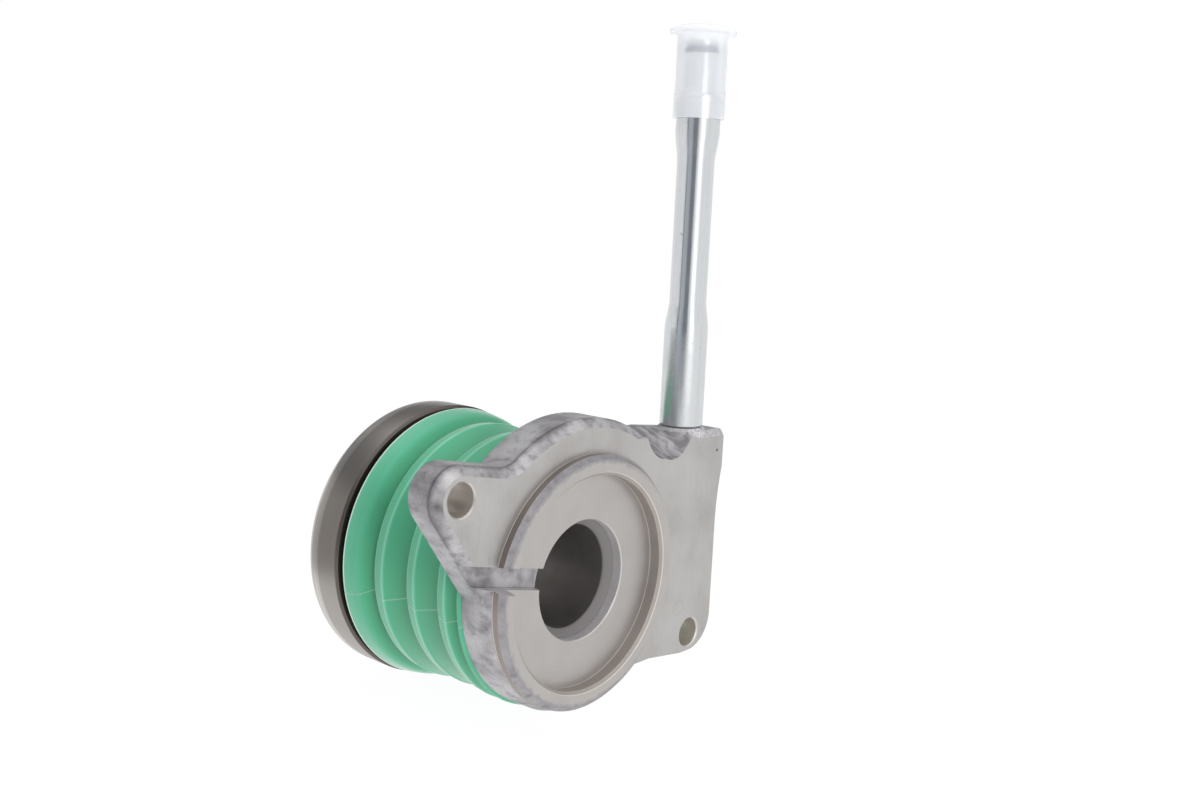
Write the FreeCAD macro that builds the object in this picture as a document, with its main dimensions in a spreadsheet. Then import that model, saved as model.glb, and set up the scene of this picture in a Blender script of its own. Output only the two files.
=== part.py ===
# Concentric clutch slave cylinder with its release bearing, feed pipe and transit cap.
# Lengths are in millimetres. +Y runs along the bore, from the gearbox face to the bearing,
# +Z runs up the feed pipe, and the origin is on the bore axis in the plane of the gearbox face.
import FreeCAD, Part
import math
import os
import types

import Sketcher

TURN = 360.0
RIGHT_ANGLE = 90.0

# Driving dimensions: name, value, what it sizes
SIZES = [
    # gearbox side of the casting
    ("spigot_radius", 34.0, "centring spigot"),
    ("spigot_length", 2.0, "straight wall of the spigot"),
    ("spigot_chamfer", 1.2, "cast slope at the spigot's end"),
    ("spigot_wall", 5.3, "wall of the spigot around the turned recess"),
    ("recess_rim_chamfer", 0.9, "chamfer at the recess mouth"),
    ("recess_depth", 0.9, "recess floor below the gearbox face"),
    ("entry_step", 0.7, "shaft entry beyond the guide sleeve"),
    ("entry_chamfer", 0.25, "broken edge of the shaft entry"),
    ("plate_thickness", 9.5, "flange plate"),
    ("rim_step", 1.1, "round part of the plate beyond the spigot"),
    ("rim_flat", 0.1, "flat left around the spigot in front of the rim's cast edge"),
    ("crown_rise", 7.9, "raised crown beyond the plate's rim"),
    ("crown_step", 2.5, "crown's back behind the plate's"),
    ("crown_tail", 8.1, "start of the crown inside the block, degrees past its ridge"),
    ("crown_overlap", 1.6, "end of the crown inside the ear, degrees past their corner"),
    ("cast_edge", 2.3, "cast chamfer on the plate's front edge"),
    # left ear
    ("ear_hole_x", -45.0, "ear hole across"),
    ("ear_hole_z", 28.4, "ear hole height"),
    ("ear_tip_radius", 8.0, "ear round about its hole"),
    ("ear_top_slope", 10.5, "fall of the ear's upper edge, degrees"),
    ("ear_side_slope", 54.4, "fall of the ear's lower edge, degrees"),
    ("ear_overlap", 9.5, "run of the ear's upper edge inside the crown"),
    ("ear_side_run", 32.0, "length of the ear's lower edge, into the rim"),
    ("ear_blend", 8.0, "fillet between ear and crown"),
    ("bolt_hole_radius", 4.2, "clearance hole for an M8 screw"),
    ("bolt_hole_chamfer", 0.4, "chamfer at the hole's mouth"),
    # right block, which carries the pipe and the second screw
    ("hole_margin", 10.1, "block hole from the block's side"),
    ("block_hole_z", -25.4, "block hole height"),
    ("block_step", 6.5, "block's back behind the plate's"),
    ("block_margin", 9.7, "block's right side from the pipe axis"),
    ("block_flare_z", 6.0, "height where the side starts to flare"),
    ("block_flare_radius", 80.0, "radius of the flare"),
    ("block_flare", 3.6, "upper right corner beyond the side"),
    ("block_corner_z", 29.7, "end of the flare"),
    ("block_top_z", 34.3, "top of the block beside the pipe"),
    ("ridge_run", 12.5, "from the pipe axis to where the top meets the crown web"),
    ("ridge_rise", 1.4, "crown web above the block's top"),
    ("block_foot_z", -30.9, "underside of the block"),
    ("foot_run", 3.7, "start of the flat underside beside the hole"),
    ("block_step_x", 29.5, "foot of the sloping underside"),
    ("block_step_z", -28.8, "height of the underside beside the plate"),
    ("block_corner_radius", 9.8, "lower right corner"),
    ("block_top_corner", 2.2, "upper right corner"),
    ("block_back_low", -3.0, "foot of the slope on the block's back"),
    ("block_back_high", 9.0, "head of the slope on the block's back"),
    ("block_edge", 1.7, "cast chamfer along the block's top"),
    ("dish_radius", 9.4, "hollow in the face beside the pipe"),
    ("dish_offset", 12.9, "hollow's centre beside the pipe axis"),
    ("dish_rise", 4.3, "hollow's centre above the block's top, at the face"),
    ("dish_slope", 27.0, "rise of the hollow towards the back, degrees"),
    # drain slot
    ("slot_angle", 167.8, "direction of the drain slot, degrees from +X"),
    ("slot_floor_width", 5.0, "floor of the slot"),
    ("slot_mouth_width", 7.6, "mouth of the slot"),
    ("slot_floor", 2.8, "slot floor below the gearbox face"),
    # cylinder
    ("chamber_width", 6.5, "width of the ring chamber around the sleeve"),
    ("floor_step", 2.5, "floor of the ring chamber behind the plate"),
    ("cylinder_wall", 4.0, "wall of the cylinder"),
    ("cylinder_length", 27.0, "cylinder behind the plate"),
    ("mouth_chamfer", 0.8, "lead-in chamfer of the cylinder"),
    ("pocket_room", 1.3, "room around the boot's bead in its turned seat"),
    # guide sleeve
    ("sleeve_radius", 14.0, "bore of the guide sleeve"),
    ("sleeve_wall", 1.5, "wall of the guide sleeve"),
    ("sleeve_start", 3.8, "flared end of the sleeve"),
    ("sleeve_flare", 2.0, "length of the flare"),
    ("sleeve_shoulder", 0.6, "shoulder that stops the sleeve"),
    ("sleeve_lip", 0.15, "thickness left at the flare's edge"),
    ("sleeve_tail", 3.0, "sleeve beyond the start of the stop groove"),
    ("sleeve_seal_cover", 3.6, "seal groove in the casting, below the chamber's floor"),
    ("sleeve_seal_width", 2.2, "width of that groove"),
    ("sleeve_seal_depth", 1.7, "depth of that groove"),
    ("seal_slack", 0.05, "room around a seal ring in its groove"),
    ("stop_room", 0.4, "stop groove beyond the piston's nose"),
    ("stop_thickness", 1.2, "stop ring"),
    ("stop_reach", 1.7, "stop ring beyond the sleeve"),
    ("stop_bite", 0.5, "depth of the ring in the sleeve"),
    ("stop_arc", 325.0, "arc of the open stop ring, degrees"),
    # piston
    ("running_fit", 0.05, "radial running clearance"),
    ("piston_length", 20.0, "piston behind its flange"),
    ("nose_length", 3.6, "piston's nose in front of its flange"),
    ("tongue_room_inside", 2.3, "room between sleeve and seal tongue"),
    ("tongue_room_outside", 2.2, "room between seal tongue and cylinder"),
    ("tongue_length", 2.1, "length of the seal tongue"),
    ("carrier_rise", 2.1, "flange that carries the bearing, beyond the lowest fold"),
    ("lip_drop", 2.9, "back of that flange in front of the lip's start"),
    ("carrier_thickness", 3.0, "thickness of that flange"),
    ("hook_height", 1.2, "groove for the retainer's hook, in front of the flange"),
    ("hook_groove_width", 1.2, "width of that groove"),
    ("hook_groove_depth", 0.7, "depth of that groove"),
    ("seal_length", 4.5, "lip seal behind the piston"),
    ("seal_lip_depth", 2.2, "depth of the groove between the lips"),
    ("seal_lip_wall", 1.3, "thickness of each lip"),
    ("seal_lip_bevel", 0.5, "bevel on the lips"),
    # spring and its seats
    ("spring_wire", 2.6, "wire of the preload spring"),
    ("spring_room", 2.1, "room between cylinder and coils"),
    ("spring_pitch", 7.4, "pitch of the coils"),
    ("spring_steps", 20, "straight runs in each coil"),
    ("spring_flats", 10, "flats around the wire"),
    ("seat_thickness", 1.2, "steel seat under the flange"),
    ("seat_margin", 0.9, "reach of the steel rings past the spring"),
    ("seat_inset", 0.4, "flange left around that seat"),
    ("foot_ring_thickness", 0.9, "steel ring on the boot's foot"),
    # boot
    ("boot_wall", 1.3, "wall of the boot"),
    ("boot_foot_thickness", 1.5, "foot of the boot"),
    ("boot_foot_room", 0.6, "room between foot and cylinder"),
    ("boot_room", 0.8, "room between spring and folds"),
    ("bead_rise", 1.0, "bead beside the plate, above the lowest fold"),
    ("bead_height", 0.8, "bead's place behind the plate"),
    ("crest_one_rise", 0.7, "first crest, above the lowest fold"),
    ("fold_one", 7.1, "first fold, crest to crest"),
    ("crest_two_rise", 0.3, "second crest, above the lowest fold"),
    ("fold_two", 12.1, "second fold"),
    ("crest_three_rise", 1.0, "third crest, above the lowest fold"),
    ("fold_three", 12.3, "third fold"),
    ("fold_depth", 2.3, "drop behind a crest"),
    ("fold_run", 1.5, "length of that drop"),
    ("crest_round", 0.8, "round on each crest"),
    ("lip_wall", 2.18, "wall of the outer lip"),
    ("lip_taper", 0.2, "fall of the lip towards its end"),
    ("lip_step", 4.3, "from the last crest to the lip"),
    ("lip_grip", 2.0, "lip's end in front of the flange's back"),
    ("lip_fit", 0.12, "room between lip and flange"),
    ("lip_hook", 2.4, "reach of the lip's hook behind the flange"),
    # release bearing
    ("ball_radius", 4.5, "ball"),
    ("ball_count", 15, "number of balls"),
    ("race_float", 1.65, "room in which the bearing finds its centre"),
    ("washer_height", 1.1, "room for the centring washer behind the race"),
    ("race_gap", 0.1, "room between ball and race"),
    ("race_thickness", 2.8, "thickness of the inner race"),
    ("race_reach", 5.5, "front end of the inner race from the balls"),
    ("race_flange", 1.2, "rear flange of the inner race beyond the ball circle"),
    ("shell_wall", 2.6, "wall of the rotating ring"),
    ("shell_room", 1.8, "back edge of the rotating ring in front of the flange"),
    ("shell_back_chamfer", 0.6, "chamfer of that edge"),
    ("shell_shoulder", 4.3, "round shoulder"),
    ("contact_room", 1.2, "gap between inner race and contact face"),
    ("contact_chamfer", 0.5, "chamfer at that edge"),
    ("back_seal_inset", 0.5, "seal in the back of the bearing"),
    ("back_seal_thickness", 1.3, "thickness of that seal"),
    ("front_seal_reach", 4.9, "seal in the front, from the balls"),
    ("front_seal_thickness", 1.6, "thickness of that seal"),
    ("seal_gap", 0.3, "gap between a seal and the still race"),
    ("pocket_gap", 0.2, "room between ball and cage"),
    ("cage_room", 0.3, "room between cage and races"),
    ("cage_reach", 3.8, "reach of the cage's bars from the ball circle"),
    ("cage_corner", 2.8, "reach of the bars' corners, across and along"),
    ("washer_room", 2.55, "room between retainer and centring washer"),
    ("washer_inset", 0.5, "centring washer inside the race's flange"),
    ("washer_thickness", 0.5, "centring washer"),
    ("washer_play", 0.03, "room at the washer's edges"),
    ("retainer_wall", 0.8, "sheet of the bearing retainer"),
    ("retainer_fit", 0.1, "room between retainer and piston"),
    ("retainer_cover", 1.5, "front flange of the retainer over the race"),
    ("retainer_gap", 0.3, "room between retainer and race"),
    # feed pipe
    ("pipe_x", 48.5, "pipe axis across"),
    ("pipe_y", 7.4, "pipe axis behind the gearbox face"),
    ("pipe_radius", 6.27, "thick parts of the pipe"),
    ("pipe_neck_radius", 5.3, "thin part of the pipe"),
    ("pipe_bore", 2.5, "bore of the pipe"),
    ("pipe_chamfer", 0.6, "chamfer above the seat"),
    ("pipe_insertion", 18.0, "length of the pipe inside the block"),
    ("pipe_spigot_radius", 5.0, "part of the pipe in the block"),
    ("boss_margin", 0.93, "boss around the pipe"),
    ("boss_height", 1.2, "height of that boss"),
    ("seat_boss_chamfer", 0.9, "chamfer of that boss"),
    ("low_length", 29.2, "lower thick part"),
    ("low_taper", 6.3, "taper above it"),
    ("neck_length", 41.0, "neck"),
    ("high_taper", 6.1, "taper above the neck"),
    ("high_length", 11.4, "upper thick part"),
    ("nipple_radius", 4.7, "nipple"),
    ("nipple_length", 15.3, "length of the nipple"),
    ("nipple_chamfer", 0.8, "lead-in of the nipple"),
    ("nipple_groove_height", 11.1, "seal groove above the nipple's shoulder"),
    ("nipple_groove_width", 2.0, "width of that groove"),
    ("nipple_groove_depth", 1.25, "depth of that groove"),
    ("nipple_seal_proud", 0.2, "how far the nipple seal stands out"),
    ("pipe_groove_height", 10.5, "seal groove above the pipe's foot"),
    ("pipe_groove_width", 1.8, "width of that groove"),
    ("pipe_groove_depth", 1.35, "depth of that groove"),
    ("pin_groove_height", 4.8, "groove for the retaining pin, above the pipe's foot"),
    ("pin_groove_width", 3.3, "width of that groove"),
    ("pin_groove_depth", 1.1, "depth of that groove"),
    # retaining pin and oil way
    ("pin_radius", 1.5, "retaining pin"),
    ("pin_wall", 0.5, "sheet of the rolled pin"),
    ("pin_slit", 0.6, "slit of the rolled pin"),
    ("pin_room", 0.3, "room between pin and groove floor"),
    ("pin_front", 2.6, "blind end of the pin hole"),
    ("pin_inset", 0.8, "pin's end inside the block's back"),
    ("oil_way_radius", 1.4, "drilled oil way"),
    ("oil_way_drop", 2.9, "cross drilling below the pipe's foot"),
    ("oil_way_inset", 2.8, "drilling into the chamber, inside its wall"),
    ("plug_radius", 2.5, "pressed ball that closes the drilling"),
    ("plug_depth", 3.6, "ball centre below the block's side"),
    ("plug_fit", 0.02, "room around the ball"),
    # transit cap
    ("cap_cover", 6.7, "open end of the cap below the nipple's shoulder"),
    ("cap_headroom", 3.0, "closed end of the cap above the nipple"),
    ("cap_fit", 0.18, "room between cap and pipe"),
    ("cap_narrowing", 0.2, "cap's body inside its skirt"),
    ("cap_skirt_length", 7.6, "length of the skirt"),
    ("cap_step", 0.6, "slope between skirt and body"),
    ("cap_wall", 0.75, "wall of the cap"),
    ("cap_roof", 1.2, "thickness of the closed end"),
    ("cap_flange_reach", 2.2, "flange at the closed end"),
    ("cap_flange_thickness", 1.2, "thickness of that flange"),
    ("cap_flange_drop", 0.6, "droop of that flange"),
]


class Size:
    """A number and the formula that binds it to the sheet."""

    def __init__(self, value, formula):
        self.value = value
        self.formula = formula

    def __add__(self, other):
        other = as_size(other)
        return Size(self.value + other.value, f"({self.formula} + {other.formula})")

    def __sub__(self, other):
        other = as_size(other)
        return Size(self.value - other.value, f"({self.formula} - {other.formula})")

    def __mul__(self, other):
        other = as_size(other)
        return Size(self.value * other.value, f"({self.formula} * {other.formula})")

    def __truediv__(self, other):
        other = as_size(other)
        return Size(self.value / other.value, f"({self.formula} / {other.formula})")

    def __neg__(self):
        return Size(-self.value, f"(0 - {self.formula})")


def as_size(number):
    return number if isinstance(number, Size) else Size(number, repr(number))


def cosine(angle):
    return Size(math.cos(math.radians(angle.value)), f"cos({angle.formula} * 1 deg)")


def sine(angle):
    return Size(math.sin(math.radians(angle.value)), f"sin({angle.formula} * 1 deg)")


def root(square):
    return Size(math.sqrt(square.value), f"sqrt({square.formula})")


ZERO = as_size(0)
doc = FreeCAD.newDocument("ClutchSlaveCylinder")
sheet = doc.addObject("Spreadsheet::Sheet", "Sizes")
for row, (alias, value, note) in enumerate(SIZES, start=1):
    sheet.set(f"A{row}", str(value))
    sheet.setAlias(f"A{row}", alias)
    sheet.set(f"B{row}", note)
doc.recompute()
s = types.SimpleNamespace(**{alias: Size(value, "Sizes." + alias) for alias, value, note in SIZES})

# What follows across the bore: sleeve, chamber, spring, boot and bearing lie one around another
s.sleeve_outer = s.sleeve_radius + s.sleeve_wall
s.entry_radius = s.sleeve_outer + s.entry_step
s.stop_radius = s.sleeve_outer + s.stop_reach
s.chamber_radius = s.sleeve_outer + s.chamber_width
s.tongue_inner = s.sleeve_outer + s.tongue_room_inside
s.tongue_outer = s.chamber_radius - s.tongue_room_outside
s.oil_way_reach = s.chamber_radius - s.oil_way_inset
s.spring_inner = s.chamber_radius + s.cylinder_wall + s.spring_room
s.spring_outer = s.spring_inner + s.spring_wire
s.spring_mean_radius = s.spring_inner + s.spring_wire / 2
s.lowest_fold = s.spring_outer + s.boot_room + s.boot_wall + s.fold_depth
s.carrier_radius = s.lowest_fold + s.carrier_rise
s.lip_radius = s.carrier_radius + s.lip_fit + s.lip_wall
s.retainer_inner = s.chamber_radius - s.running_fit + s.retainer_fit
s.retainer_outer = s.retainer_inner + s.retainer_wall
s.race_inner = s.retainer_outer + s.race_float
s.track_radius = s.ball_radius + s.race_gap
s.pitch_radius = s.race_inner + s.race_thickness + s.track_radius
s.race_flange_radius = s.pitch_radius + s.race_flange
s.shell_radius = s.pitch_radius + s.track_radius + s.shell_wall
s.contact_inner = s.pitch_radius - s.track_radius + s.contact_room
s.retainer_reach = s.race_inner + s.retainer_cover
s.washer_inner = s.retainer_outer + s.washer_room
s.washer_outer = s.race_flange_radius - s.washer_inset
s.recess_radius = s.spigot_radius - s.spigot_wall
s.rim_radius = s.spigot_radius + s.rim_step
s.crown_radius = s.rim_radius + s.crown_rise

# What follows along the bore, from the plate to the bearing
s.crown_depth = s.plate_thickness + s.crown_step
s.block_depth = s.plate_thickness + s.block_step
s.chamber_floor = s.plate_thickness + s.floor_step
s.sleeve_seal_start = s.chamber_floor - s.sleeve_seal_cover
s.cylinder_end = s.plate_thickness + s.cylinder_length
s.boot_bead_y = s.plate_thickness + s.bead_height
s.crest_one_y = s.boot_bead_y + s.fold_one
s.crest_two_y = s.crest_one_y + s.fold_two
s.crest_three_y = s.crest_two_y + s.fold_three
s.lip_start = s.crest_three_y + s.lip_step
s.carrier_start = s.lip_start + s.lip_drop
s.carrier_end = s.carrier_start + s.carrier_thickness
s.lip_end = s.carrier_start + s.lip_grip
s.piston_start = s.carrier_start - s.piston_length
s.piston_end = s.carrier_end + s.nose_length
s.hook_groove_start = s.carrier_end + s.hook_height
s.stop_groove_start = s.piston_end + s.stop_room
s.sleeve_end = s.stop_groove_start + s.sleeve_tail
s.ball_y = s.carrier_end + s.washer_height + s.race_thickness + s.track_radius
s.race_front = s.ball_y + s.race_reach
s.shell_back = s.carrier_end + s.shell_room
s.back_seal_start = s.shell_back + s.back_seal_inset
s.front_seal_start = s.ball_y + s.front_seal_reach

# What follows around the pipe and up it
s.block_side_x = s.pipe_x + s.block_margin
s.block_corner_x = s.block_side_x + s.block_flare
s.block_ridge_x = s.pipe_x - s.ridge_run
s.block_ridge_z = s.block_top_z + s.ridge_rise
s.block_hole_x = s.block_side_x - s.hole_margin
s.block_foot_x = s.block_hole_x - s.foot_run
s.dish_x = s.pipe_x - s.dish_offset
s.dish_z = s.block_top_z + s.dish_rise
s.seat_boss_radius = s.pipe_radius + s.boss_margin
s.seat_boss_z = s.block_top_z + s.boss_height
s.pipe_foot = s.seat_boss_z - s.pipe_insertion
s.oil_way_z = s.pipe_foot - s.oil_way_drop
s.pin_groove_z = s.pipe_foot + s.pin_groove_height
s.pin_offset = s.pipe_spigot_radius - s.pin_groove_depth + s.pin_room + s.pin_radius
s.pin_length = s.block_depth - s.pin_front - s.pin_inset
s.pipe_groove_z = s.pipe_foot + s.pipe_groove_height
s.neck_low_start = s.seat_boss_z + s.low_length
s.neck_low_end = s.neck_low_start + s.low_taper
s.neck_high_start = s.neck_low_end + s.neck_length
s.neck_high_end = s.neck_high_start + s.high_taper
s.nipple_start = s.neck_high_end + s.high_length
s.nipple_groove_z = s.nipple_start + s.nipple_groove_height
s.nipple_end = s.nipple_start + s.nipple_length
s.cap_start = s.nipple_start - s.cap_cover
s.cap_end = s.nipple_end + s.cap_headroom
s.cap_skirt_radius = s.pipe_radius + s.cap_fit + s.cap_wall
s.cap_body_radius = s.cap_skirt_radius - s.cap_narrowing
s.cap_flange_radius = s.cap_body_radius + s.cap_flange_reach


# Drawing and shaping helpers
def bind(thing, name, size):
    thing.setExpression(name, as_size(size).formula)


def place(thing, x=ZERO, y=ZERO, z=ZERO):
    """Hold a body's place with the sheet."""
    for axis, size in zip("xyz", (x, y, z)):
        bind(thing, f"Placement.Base.{axis}", size)


def origin_feature(body, role):
    return next(feature for feature in body.Origin.OriginFeatures if feature.Role == role)


def new_body(name):
    body = doc.addObject("PartDesign::Body", name)
    body.Label = name
    return body


def arc_between(start, end, radius, side):
    """The short arc from start to end whose centre lies to the left (1) or right (-1) of the chord."""
    chord = end - start
    across = FreeCAD.Vector(-chord.y, chord.x, 0).normalize()
    reach = math.sqrt(max(radius**2 - (chord.Length / 2) ** 2, 0))
    centre = (start + end) / 2 + across * side * reach
    middle = centre - across * side * radius
    return Part.Arc(start, middle, end)


def new_sketch(body, name, role):
    sketch = body.newObject("Sketcher::SketchObject", name)
    sketch.AttachmentSupport = [(origin_feature(body, role), "")]
    sketch.MapMode = "FlatFace"
    return sketch


def hold_point(sketch, piece, end, x, y):
    """Tie one end of a sketch line to its distances from the sketch's origin."""
    for kind, size in (("DistanceX", x), ("DistanceY", y)):
        index = sketch.addConstraint(Sketcher.Constraint(kind, -1, 1, piece, end, size.value))
        bind(sketch, f"Constraints[{index}]", size)


def outline(body, name, role, corners, bends=None):
    """A closed outline through the corners. bends maps a run's number to the radius and side of its arc."""
    sketch = new_sketch(body, name, role)
    bends = bends or {}
    corners = [(as_size(x), as_size(y)) for x, y in corners]
    points = [FreeCAD.Vector(x.value, y.value, 0) for x, y in corners]
    ends = []
    for run, start in enumerate(points):
        end = points[(run + 1) % len(points)]
        if run in bends:
            radius, side = bends[run]
            sketch.addGeometry(arc_between(start, end, radius.value, side))
        else:
            sketch.addGeometry(Part.LineSegment(start, end))
        first, second = sketch.getPoint(run, 1), sketch.getPoint(run, 2)
        forward = first.distanceToPoint(start) < second.distanceToPoint(start)
        ends.append((1, 2) if forward else (2, 1))
    for run, (x, y) in enumerate(corners):
        following = (run + 1) % len(points)
        joint = Sketcher.Constraint("Coincident", run, ends[run][1], following, ends[following][0])
        sketch.addConstraint(joint)
        hold_point(sketch, run, ends[run][0], x, y)
    for run, (radius, side) in bends.items():
        index = sketch.addConstraint(Sketcher.Constraint("Radius", run, radius.value))
        bind(sketch, f"Constraints[{index}]", radius)
    return sketch


def circle_sketch(body, name, role, x, y, radius):
    sketch = new_sketch(body, name, role)
    x, y = as_size(x), as_size(y)
    centre = FreeCAD.Vector(x.value, y.value, 0)
    sketch.addGeometry(Part.Circle(centre, FreeCAD.Vector(0, 0, 1), radius.value))
    hold_point(sketch, 0, 3, x, y)
    index = sketch.addConstraint(Sketcher.Constraint("Radius", 0, radius.value))
    bind(sketch, f"Constraints[{index}]", radius)
    return sketch


def revolved(body, sketch, name, kind="Revolution", angle=TURN):
    feature = body.newObject(f"PartDesign::{kind}", name)
    feature.Profile = sketch
    feature.ReferenceAxis = (sketch, ["V_Axis"])
    bind(feature, "Angle", angle)
    return feature


def turned(name, corners, bends=None, role="XY_Plane", angle=TURN):
    """A ring or tube turned about the bore axis (or the pipe's own, on the XZ plane)."""
    body = new_body(name)
    sketch = outline(body, name + "_section", role, corners, bends)
    revolved(body, sketch, name + "_turned", angle=angle)
    return body


def padded(body, sketch, name, length, kind="Pad", reverse=True):
    feature = body.newObject(f"PartDesign::{kind}", name)
    feature.Profile = sketch
    feature.Reversed = reverse
    bind(feature, "Length", length)
    return feature


def edges_where(feature, test):
    """Names of the feature's edges whose start, middle and end pass the test together."""
    names = []
    for number, edge in enumerate(feature.Shape.Edges, start=1):
        first, last = edge.ParameterRange
        marks = [edge.valueAt(first), edge.valueAt((first + last) / 2), edge.valueAt(last)]
        if test(marks):
            names.append(f"Edge{number}")
    return names


def dressed(body, kind, name, base, test, size):
    """A chamfer or fillet on the base's edges that pass the test."""
    doc.recompute()
    names = edges_where(base, test)
    if not names:
        raise RuntimeError(f"{name} finds no edge")
    feature = body.newObject(f"PartDesign::{kind}", name)
    feature.Base = (base, names)
    bind(feature, "Size" if kind == "Chamfer" else "Radius", size)
    return feature


def o_ring(name, mean_radius, cord_radius):
    ring = doc.addObject("Part::Torus", name)
    ring.Label = name
    bind(ring, "Radius1", mean_radius)
    bind(ring, "Radius2", cord_radius)
    return ring


ALONG_BORE = FreeCAD.Rotation(FreeCAD.Vector(1, 0, 0), -RIGHT_ANGLE)
NEAR = 0.05


# Housing: one aluminium casting with the flange, the cylinder and the pipe block
def offset_sketch(sketch, x=ZERO, y=ZERO, z=ZERO, swing=None):
    """Shift a sketch off its plane, and swing it about its own upright axis."""
    turn = FreeCAD.Rotation(FreeCAD.Vector(0, 1, 0), swing.value) if swing else FreeCAD.Rotation()
    shift = FreeCAD.Vector(x.value, y.value, z.value)
    sketch.AttachmentOffset = FreeCAD.Placement(shift, turn)
    for axis, size in zip("xyz", (x, y, z)):
        bind(sketch, f"AttachmentOffset.Base.{axis}", size)
    if swing:
        bind(sketch, "AttachmentOffset.Rotation.Angle", swing)


def ear_top_run():
    """Where the ear's upper edge starts, and its length up to the crown's circle."""
    across, fall = cosine(s.ear_top_slope), sine(s.ear_top_slope)
    start_x = s.ear_hole_x + s.ear_tip_radius * fall
    start_z = s.ear_hole_z + s.ear_tip_radius * across
    towards = start_z * fall - start_x * across
    beside = start_x * fall + start_z * across
    return (start_x, start_z), towards - root(s.crown_radius * s.crown_radius - beside * beside)


def add_ear(body):
    """A round tip about the screw hole, with two straight edges that run into the plate."""
    tip_x, tip_z, tip = s.ear_hole_x, s.ear_hole_z, s.ear_tip_radius
    top_start, run = ear_top_run()
    side_start = (tip_x - tip * sine(s.ear_side_slope), tip_z - tip * cosine(s.ear_side_slope))
    top_end = (
        top_start[0] + (run + s.ear_overlap) * cosine(s.ear_top_slope),
        top_start[1] - (run + s.ear_overlap) * sine(s.ear_top_slope),
    )
    side_end = (
        side_start[0] + s.ear_side_run * cosine(s.ear_side_slope),
        side_start[1] - s.ear_side_run * sine(s.ear_side_slope),
    )
    corners = [top_start, side_start, side_end, (0, 0), top_end]
    padded(body, outline(body, "ear_outline", "XZ_Plane", corners, {0: (tip, 1)}), "ear", s.plate_thickness)


def add_crown(body):
    """The thicker sector above the bore. Its left end lies inside the ear."""
    ridge_x = root(s.crown_radius * s.crown_radius - s.block_ridge_z * s.block_ridge_z)
    tail = s.crown_tail
    start = (
        ridge_x * cosine(tail) + s.block_ridge_z * sine(tail),
        s.block_ridge_z * cosine(tail) - ridge_x * sine(tail),
    )
    corner, run = ear_top_run()
    corner_x = corner[0] + run * cosine(s.ear_top_slope)
    corner_z = corner[1] - run * sine(s.ear_top_slope)
    past = s.crown_overlap
    end = (
        corner_x * cosine(past) - corner_z * sine(past),
        corner_x * sine(past) + corner_z * cosine(past),
    )
    sector = outline(body, "crown_outline", "XZ_Plane", [(0, 0), start, end], {1: (s.crown_radius, 1)})
    return padded(body, sector, "crown", s.crown_depth)


def add_rim(body):
    """The round plate around the bore, whose cast edge starts beside the spigot."""
    section = [
        (0, 0),
        (s.spigot_radius + s.rim_flat, 0),
        (s.rim_radius, s.cast_edge),
        (s.rim_radius, s.plate_thickness),
        (0, s.plate_thickness),
    ]
    revolved(body, outline(body, "rim_section", "XY_Plane", section), "rim")


def add_block(body):
    """The block that carries the pipe and the second screw. Its back leans down to the plate."""
    corners = [
        (0, s.block_step_z),
        (s.block_step_x, s.block_step_z),
        (s.block_foot_x, s.block_foot_z),
        (s.block_side_x - s.block_corner_radius, s.block_foot_z),
        (s.block_side_x, s.block_foot_z + s.block_corner_radius),
        (s.block_side_x, s.block_flare_z),
        (s.block_corner_x, s.block_corner_z),
        (s.block_corner_x, s.block_top_z - s.block_top_corner),
        (s.block_corner_x - s.block_top_corner, s.block_top_z),
        (s.pipe_x, s.block_top_z),
        (s.block_ridge_x, s.block_ridge_z),
        (0, s.block_ridge_z),
    ]
    bends = {
        3: (s.block_corner_radius, 1),
        5: (s.block_flare_radius, -1),
        7: (s.block_top_corner, 1),
    }
    padded(body, outline(body, "block_outline", "XZ_Plane", corners, bends), "block", s.block_depth)
    below = s.block_foot_z * 2
    behind = s.block_depth * 2
    lean = [
        (s.plate_thickness, below),
        (s.plate_thickness, s.block_back_low),
        (s.block_depth, s.block_back_high),
        (behind, s.block_back_high),
        (behind, below),
    ]
    leaning = outline(body, "block_back_outline", "YZ_Plane", lean)
    back = padded(body, leaning, "block_back", s.block_side_x * 4, "Pocket")
    back.Midplane = True


def add_pipe_boss(body):
    """The round boss that the pipe stands on."""
    corners = [
        (0, s.block_back_high),
        (s.seat_boss_radius, s.block_back_high),
        (s.seat_boss_radius, s.seat_boss_z - s.seat_boss_chamfer),
        (s.seat_boss_radius - s.seat_boss_chamfer, s.seat_boss_z),
        (0, s.seat_boss_z),
    ]
    section = outline(body, "pipe_boss_section", "XZ_Plane", corners)
    offset_sketch(section, x=s.pipe_x, z=-s.pipe_y)
    revolved(body, section, "pipe_boss")


def cut_boot_seat(body):
    """The turned seat behind the plate, which clears the boot."""
    reach = s.lowest_fold + s.bead_rise + s.pocket_room
    seat = circle_sketch(body, "boot_seat_circle", "XZ_Plane", 0, 0, reach)
    offset_sketch(seat, z=-s.plate_thickness)
    return padded(body, seat, "boot_seat", s.block_depth * 2, "Pocket", reverse=False)


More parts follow.
